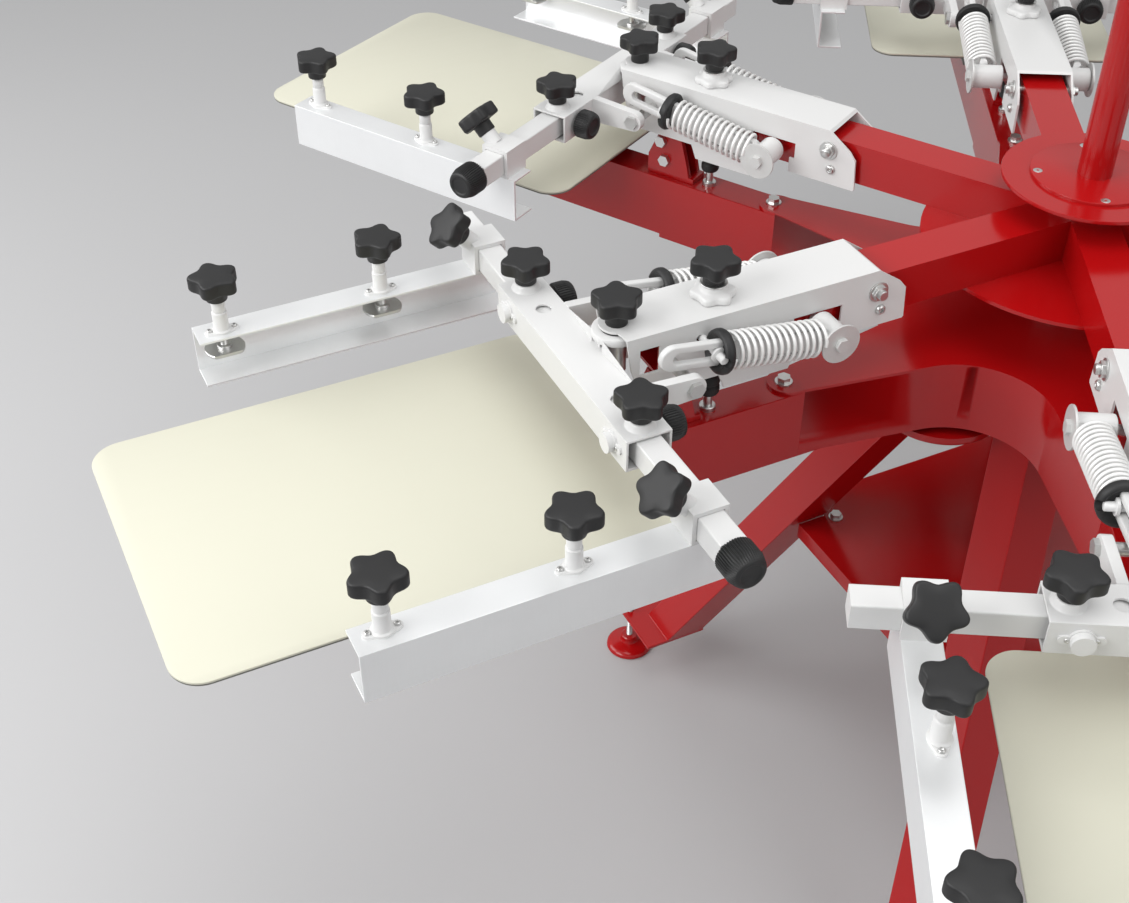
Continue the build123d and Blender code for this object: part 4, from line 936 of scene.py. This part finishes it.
headPiece(evenShading(pieceFrom("head_1_bar_tube", form, [whitePaint])), "bar_1", "head_1_bar", "white_paint")
guideLook = {"edge": 2.4, "hub": 17.0, "cadHub": 24.0, "tipFrom": 185.0, "tipBack": 6.0}
form = softened("head_1_guides", guideLook["edge"])
for vert in form.verts:
    local = alongGuide.inverted() @ vert.co / mm
    reach = math.hypot(local.x, local.z)
    if reach < guideLook["cadHub"] + 0.4:
        local.x *= guideLook["hub"] / guideLook["cadHub"]
        local.z *= guideLook["hub"] / guideLook["cadHub"]
    elif local.x > guideLook["tipFrom"]:
        local.x -= guideLook["tipBack"]
    vert.co = alongGuide @ (local * mm)
bars = evenShading(pieceFrom("head_1_guide_bars", form, [whitePaint]), 50)
headPiece(bars, "guides_1", "head_1_guides", "white_paint", "guides")
for side in ("left", "right"):
    fromNode("head_1_clamp_block_" + side, "head_1_clamp_" + side, 1.8, [whitePaint], "clamp_" + side, "white_paint")
    form = softened("head_1_holder_" + side, 0.7, None, 950.0)
    channel = evenShading(pieceFrom("head_1_channel_" + side, form, [channelMetal]))
    headPiece(channel, "clamp_" + side, "head_1_holder_" + side, "holder_aluminium")
    sign = 1 if side == "left" else -1
    places = [place for name, place in screwPlaces.items() if side in name]
    bosses = scatter("head_1_bosses_" + side, bossMould, [(place, up, 0) for place in places], whiteTurned)
    headPiece(bosses, "clamp_" + side, "head_1_holder_" + side, "holder_aluminium")
    flanges = scatter("head_1_flanges_" + side, flangeMould, [(place, up, 0) for place in places], whiteTurned)
    headPiece(flanges, "clamp_" + side, "head_1_holder_" + side, "holder_aluminium")
    heads = [((x + shift, y, z + 3), up, 15) for x, y, z in places for shift in (-15, 15)]
    small = scatter("head_1_flange_screws_" + side, flangeScrewMould, heads, platedSteel)
    headPiece(small, "clamp_" + side, "head_1_holder_" + side, "holder_aluminium")
    back = scatter("head_1_back_knob_rim_" + side, backKnobMould, [((679.0, sign * 133.0, 970.0), (-1, 0, 0), 0)], blackPlastic)
    headPiece(back, "back_knob_" + side, "head_1_back_knob_" + side, "black_plastic")
    stub = scatter("head_1_back_screw_" + side, mouldFor("stub" + side, turnedForm([(0, 0), (4.8, 0), (4.8, 15), (0, 15)], 20)),
                   [((679.0, sign * 133.0, 970.0), (1, 0, 0), 0)], platedSteel)
    headPiece(stub, "back_knob_" + side, "head_1_back_knob_" + side, "black_plastic")
rim = scatter("head_1_bar_knob_rim", barKnobMould, [((710.0, 336.6, 970.0), (0, 1, 0), 0)], blackPlastic)
headPiece(rim, "bar_knob", "head_1_bar_knob", "black_plastic")
for name, place in knobs.items():
    piece = scatter("head_1_" + name + "_grip", starMould, [place], blackPlastic)
    headPiece(piece, name, "head_1_" + name, "black_plastic")
for name, place in screwPlaces.items():
    for part, mould in (("stem", stemMould), ("pad", padMould)):
        piece = scatter("head_1_" + name + "_" + part, mould, [(place, up, 0)], platedSteel)
        headPiece(piece, name, "head_1_" + name, "black_plastic")
collar = mouldFor("frontCollarMould", turnedForm([(5, -4), (12.6, -4), (12.8, -3.7), (12.8, 1), (5, 1)], 48))
headPiece(scatter("head_1_front_knob_collar", collar, [((665.0, 0, 1020.6), up, 0)], blackPlastic), "front_knob",
          "head_1_front_knob", "black_plastic")
rods = {"top_knob": (542.5, 0, 1002.5, 1036.4), "front_knob": (665.0, 0, 953.0, 1021.0),
        "sleeve_knob_left": (710.0, 144.0, 985.5, 998.8), "sleeve_knob_right": (710.0, -144.0, 985.5, 998.8)}
for name, (x, y, low, high) in rods.items():
    form = turnedForm([(0, low), (4.5, low), (5, low + 0.7), (5, high), (0, high)], 24)
    piece = scatter("head_1_" + name + "_rod", mouldFor(name + "Rod", form), [((x, y, 0), up, 0)], platedSteel)
    headPiece(piece, name, "head_1_" + name, "black_plastic")
for side, sign in (("left", 1), ("right", -1)):
    form = turnedForm([(0, 22), (5, 22), (5, 38.8), (0, 38.8)], 24)
    place = ((710.0, sign * 271.5, 970.0), (slant, 0, slant), 0)
    piece = scatter("head_1_clamp_knob_rod_" + side, mouldFor("clampRod" + side, form), [place], platedSteel)
    headPiece(piece, "clamp_knob_" + side, "head_1_clamp_knob_" + side, "black_plastic")
print("head 1 frame made")

# springs and their black collars lie along the guide bars
coil = {"Turns": 14.0, "Coil Radius": 0.0202, "Wire Radius": 0.00235, "Start": 0.0192, "End": 0.1454,
        "Steps Per Turn": 36}


def slotted(angle, radius):
    if radius > 14:
        return 1
    reach = min(guide["slotHalf"] / max(1e-6, abs(math.sin(angle))), guide["slotHigh"] / max(1e-6, abs(math.cos(angle))))
    return reach / radius


def collarForm(sign):
    radius = guide["collarRadius"]
    long = guide["collarLength"]
    profile = [(12, long - 5), (12, 0.8), (14.5, 0), (radius - 3.5, 0), (radius - 1.2, 0.9), (radius, 3), (radius, long - 6),
               (radius - 0.9, long - 2.8), (radius - 3.2, long - 0.6), (radius - 5.5, long), (radius - 7.5, long - 1.6),
               (radius - 9.5, long - 3.6), (14.6, long - 4.6)]
    form = bmesh.new()
    seatMatrix = Matrix.Translation((guide["collarStart"], sign * guide["side"], 0)) @ Matrix.Rotation(math.pi / 2, 4, "Y")
    addTurned(form, profile, 96, seatMatrix, slotted, closed=True)
    return form


def notched(collar, sign):  # cuts the groove that the cross pin lies in
    form = turnedForm([(0, 40), (guide["notch"], 40), (guide["notch"], 100), (0, 100)], 32)
    bmesh.ops.scale(form, vec=(mm, mm, mm), verts=form.verts)
    bmesh.ops.rotate(form, matrix=Matrix.Rotation(-sign * math.pi / 2, 3, "X"), verts=form.verts)
    bmesh.ops.translate(form, vec=(guide["pin"] * mm, 0, 0), verts=form.verts)
    bmesh.ops.recalc_face_normals(form, faces=form.faces)
    cutter = pieceFrom("notchCutter", form, [])
    cut = collar.modifiers.new("cut", "BOOLEAN")
    cut.operation = "DIFFERENCE"
    cut.object = cutter
    plain(collar)
    bpy.data.objects.remove(cutter)
    return collar


wound = []
for side, sign in (("left", 1), ("right", -1)):
    values = dict(coil, Side=sign * guide["side"] * mm, Finish=springSteel)
    spring = grow(springTree, "head_1_spring_" + side, bpy.data.meshes.new("host"), values)
    spring.data.transform(alongGuide)
    spring.data.shade_smooth()
    form = collarForm(sign)
    bmesh.ops.scale(form, vec=(mm, mm, mm), verts=form.verts)
    bmesh.ops.recalc_face_normals(form, faces=form.faces)
    collar = notched(pieceFrom("head_1_collar_" + side, form, [blackPlastic]), sign)
    collar.data.transform(alongGuide)
    wound.append((side, spring, evenShading(collar)))


def seatSpring(spring, nodeName):
    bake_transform(spring)
    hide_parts(nodeName)


for number in stations:
    for side, spring, collar in wound:
        if number == 1:
            seatSpring(spring, "head_1_springs")
            seat(collar, "collars_1", ["head_1_collars"], "black_plastic")
        else:
            springNode = "head_" + str(number) + "_springs"
            seatSpring(copyOf(spring, "head_" + str(number) + "_spring_" + side, number), springNode)
            other = copyOf(collar, "head_" + str(number) + "_collar_" + side, number)
            seat(other, "collars_" + str(number), [springNode], "spring_steel")
print("springs made")

# heads 2 to 6
for number in stations:
    if number == 1:
        continue
    groups = {}
    for piece, slotName, role in headPieces:
        finish = piece.data.materials[0]
        groups.setdefault((role, finish.name), []).append(piece)
    for (role, finishName), group in groups.items():
        form = bmesh.new()
        for piece in group:
            form.from_mesh(piece.data)
        mesh = bpy.data.meshes.new("joined")
        form.to_mesh(mesh)
        form.free()
        mesh.materials.append(bpy.data.materials[finishName])
        mesh.transform(turned(number))
        name = "head_" + str(number) + "_" + role + "_" + finishName
        mesh.name = name
        joined = bpy.data.objects.new(name, mesh)
        scene.collection.objects.link(joined)
        joined.data.shade_smooth()
        joined.data.set_sharp_from_angle(angle=math.radians(34))
        body = ("guides_" if role == "guides" else "lift_") + str(number)
        seat(joined, body, ["head_" + str(number) + "_" + role], "white_paint")
print("heads 2 to 6 made")

for mould in moulds:
    bpy.data.objects.remove(mould)

for leftover in [thing for thing in scene.objects if thing.name in ("Cube", "Camera", "Light")]:
    bpy.data.objects.remove(leftover)
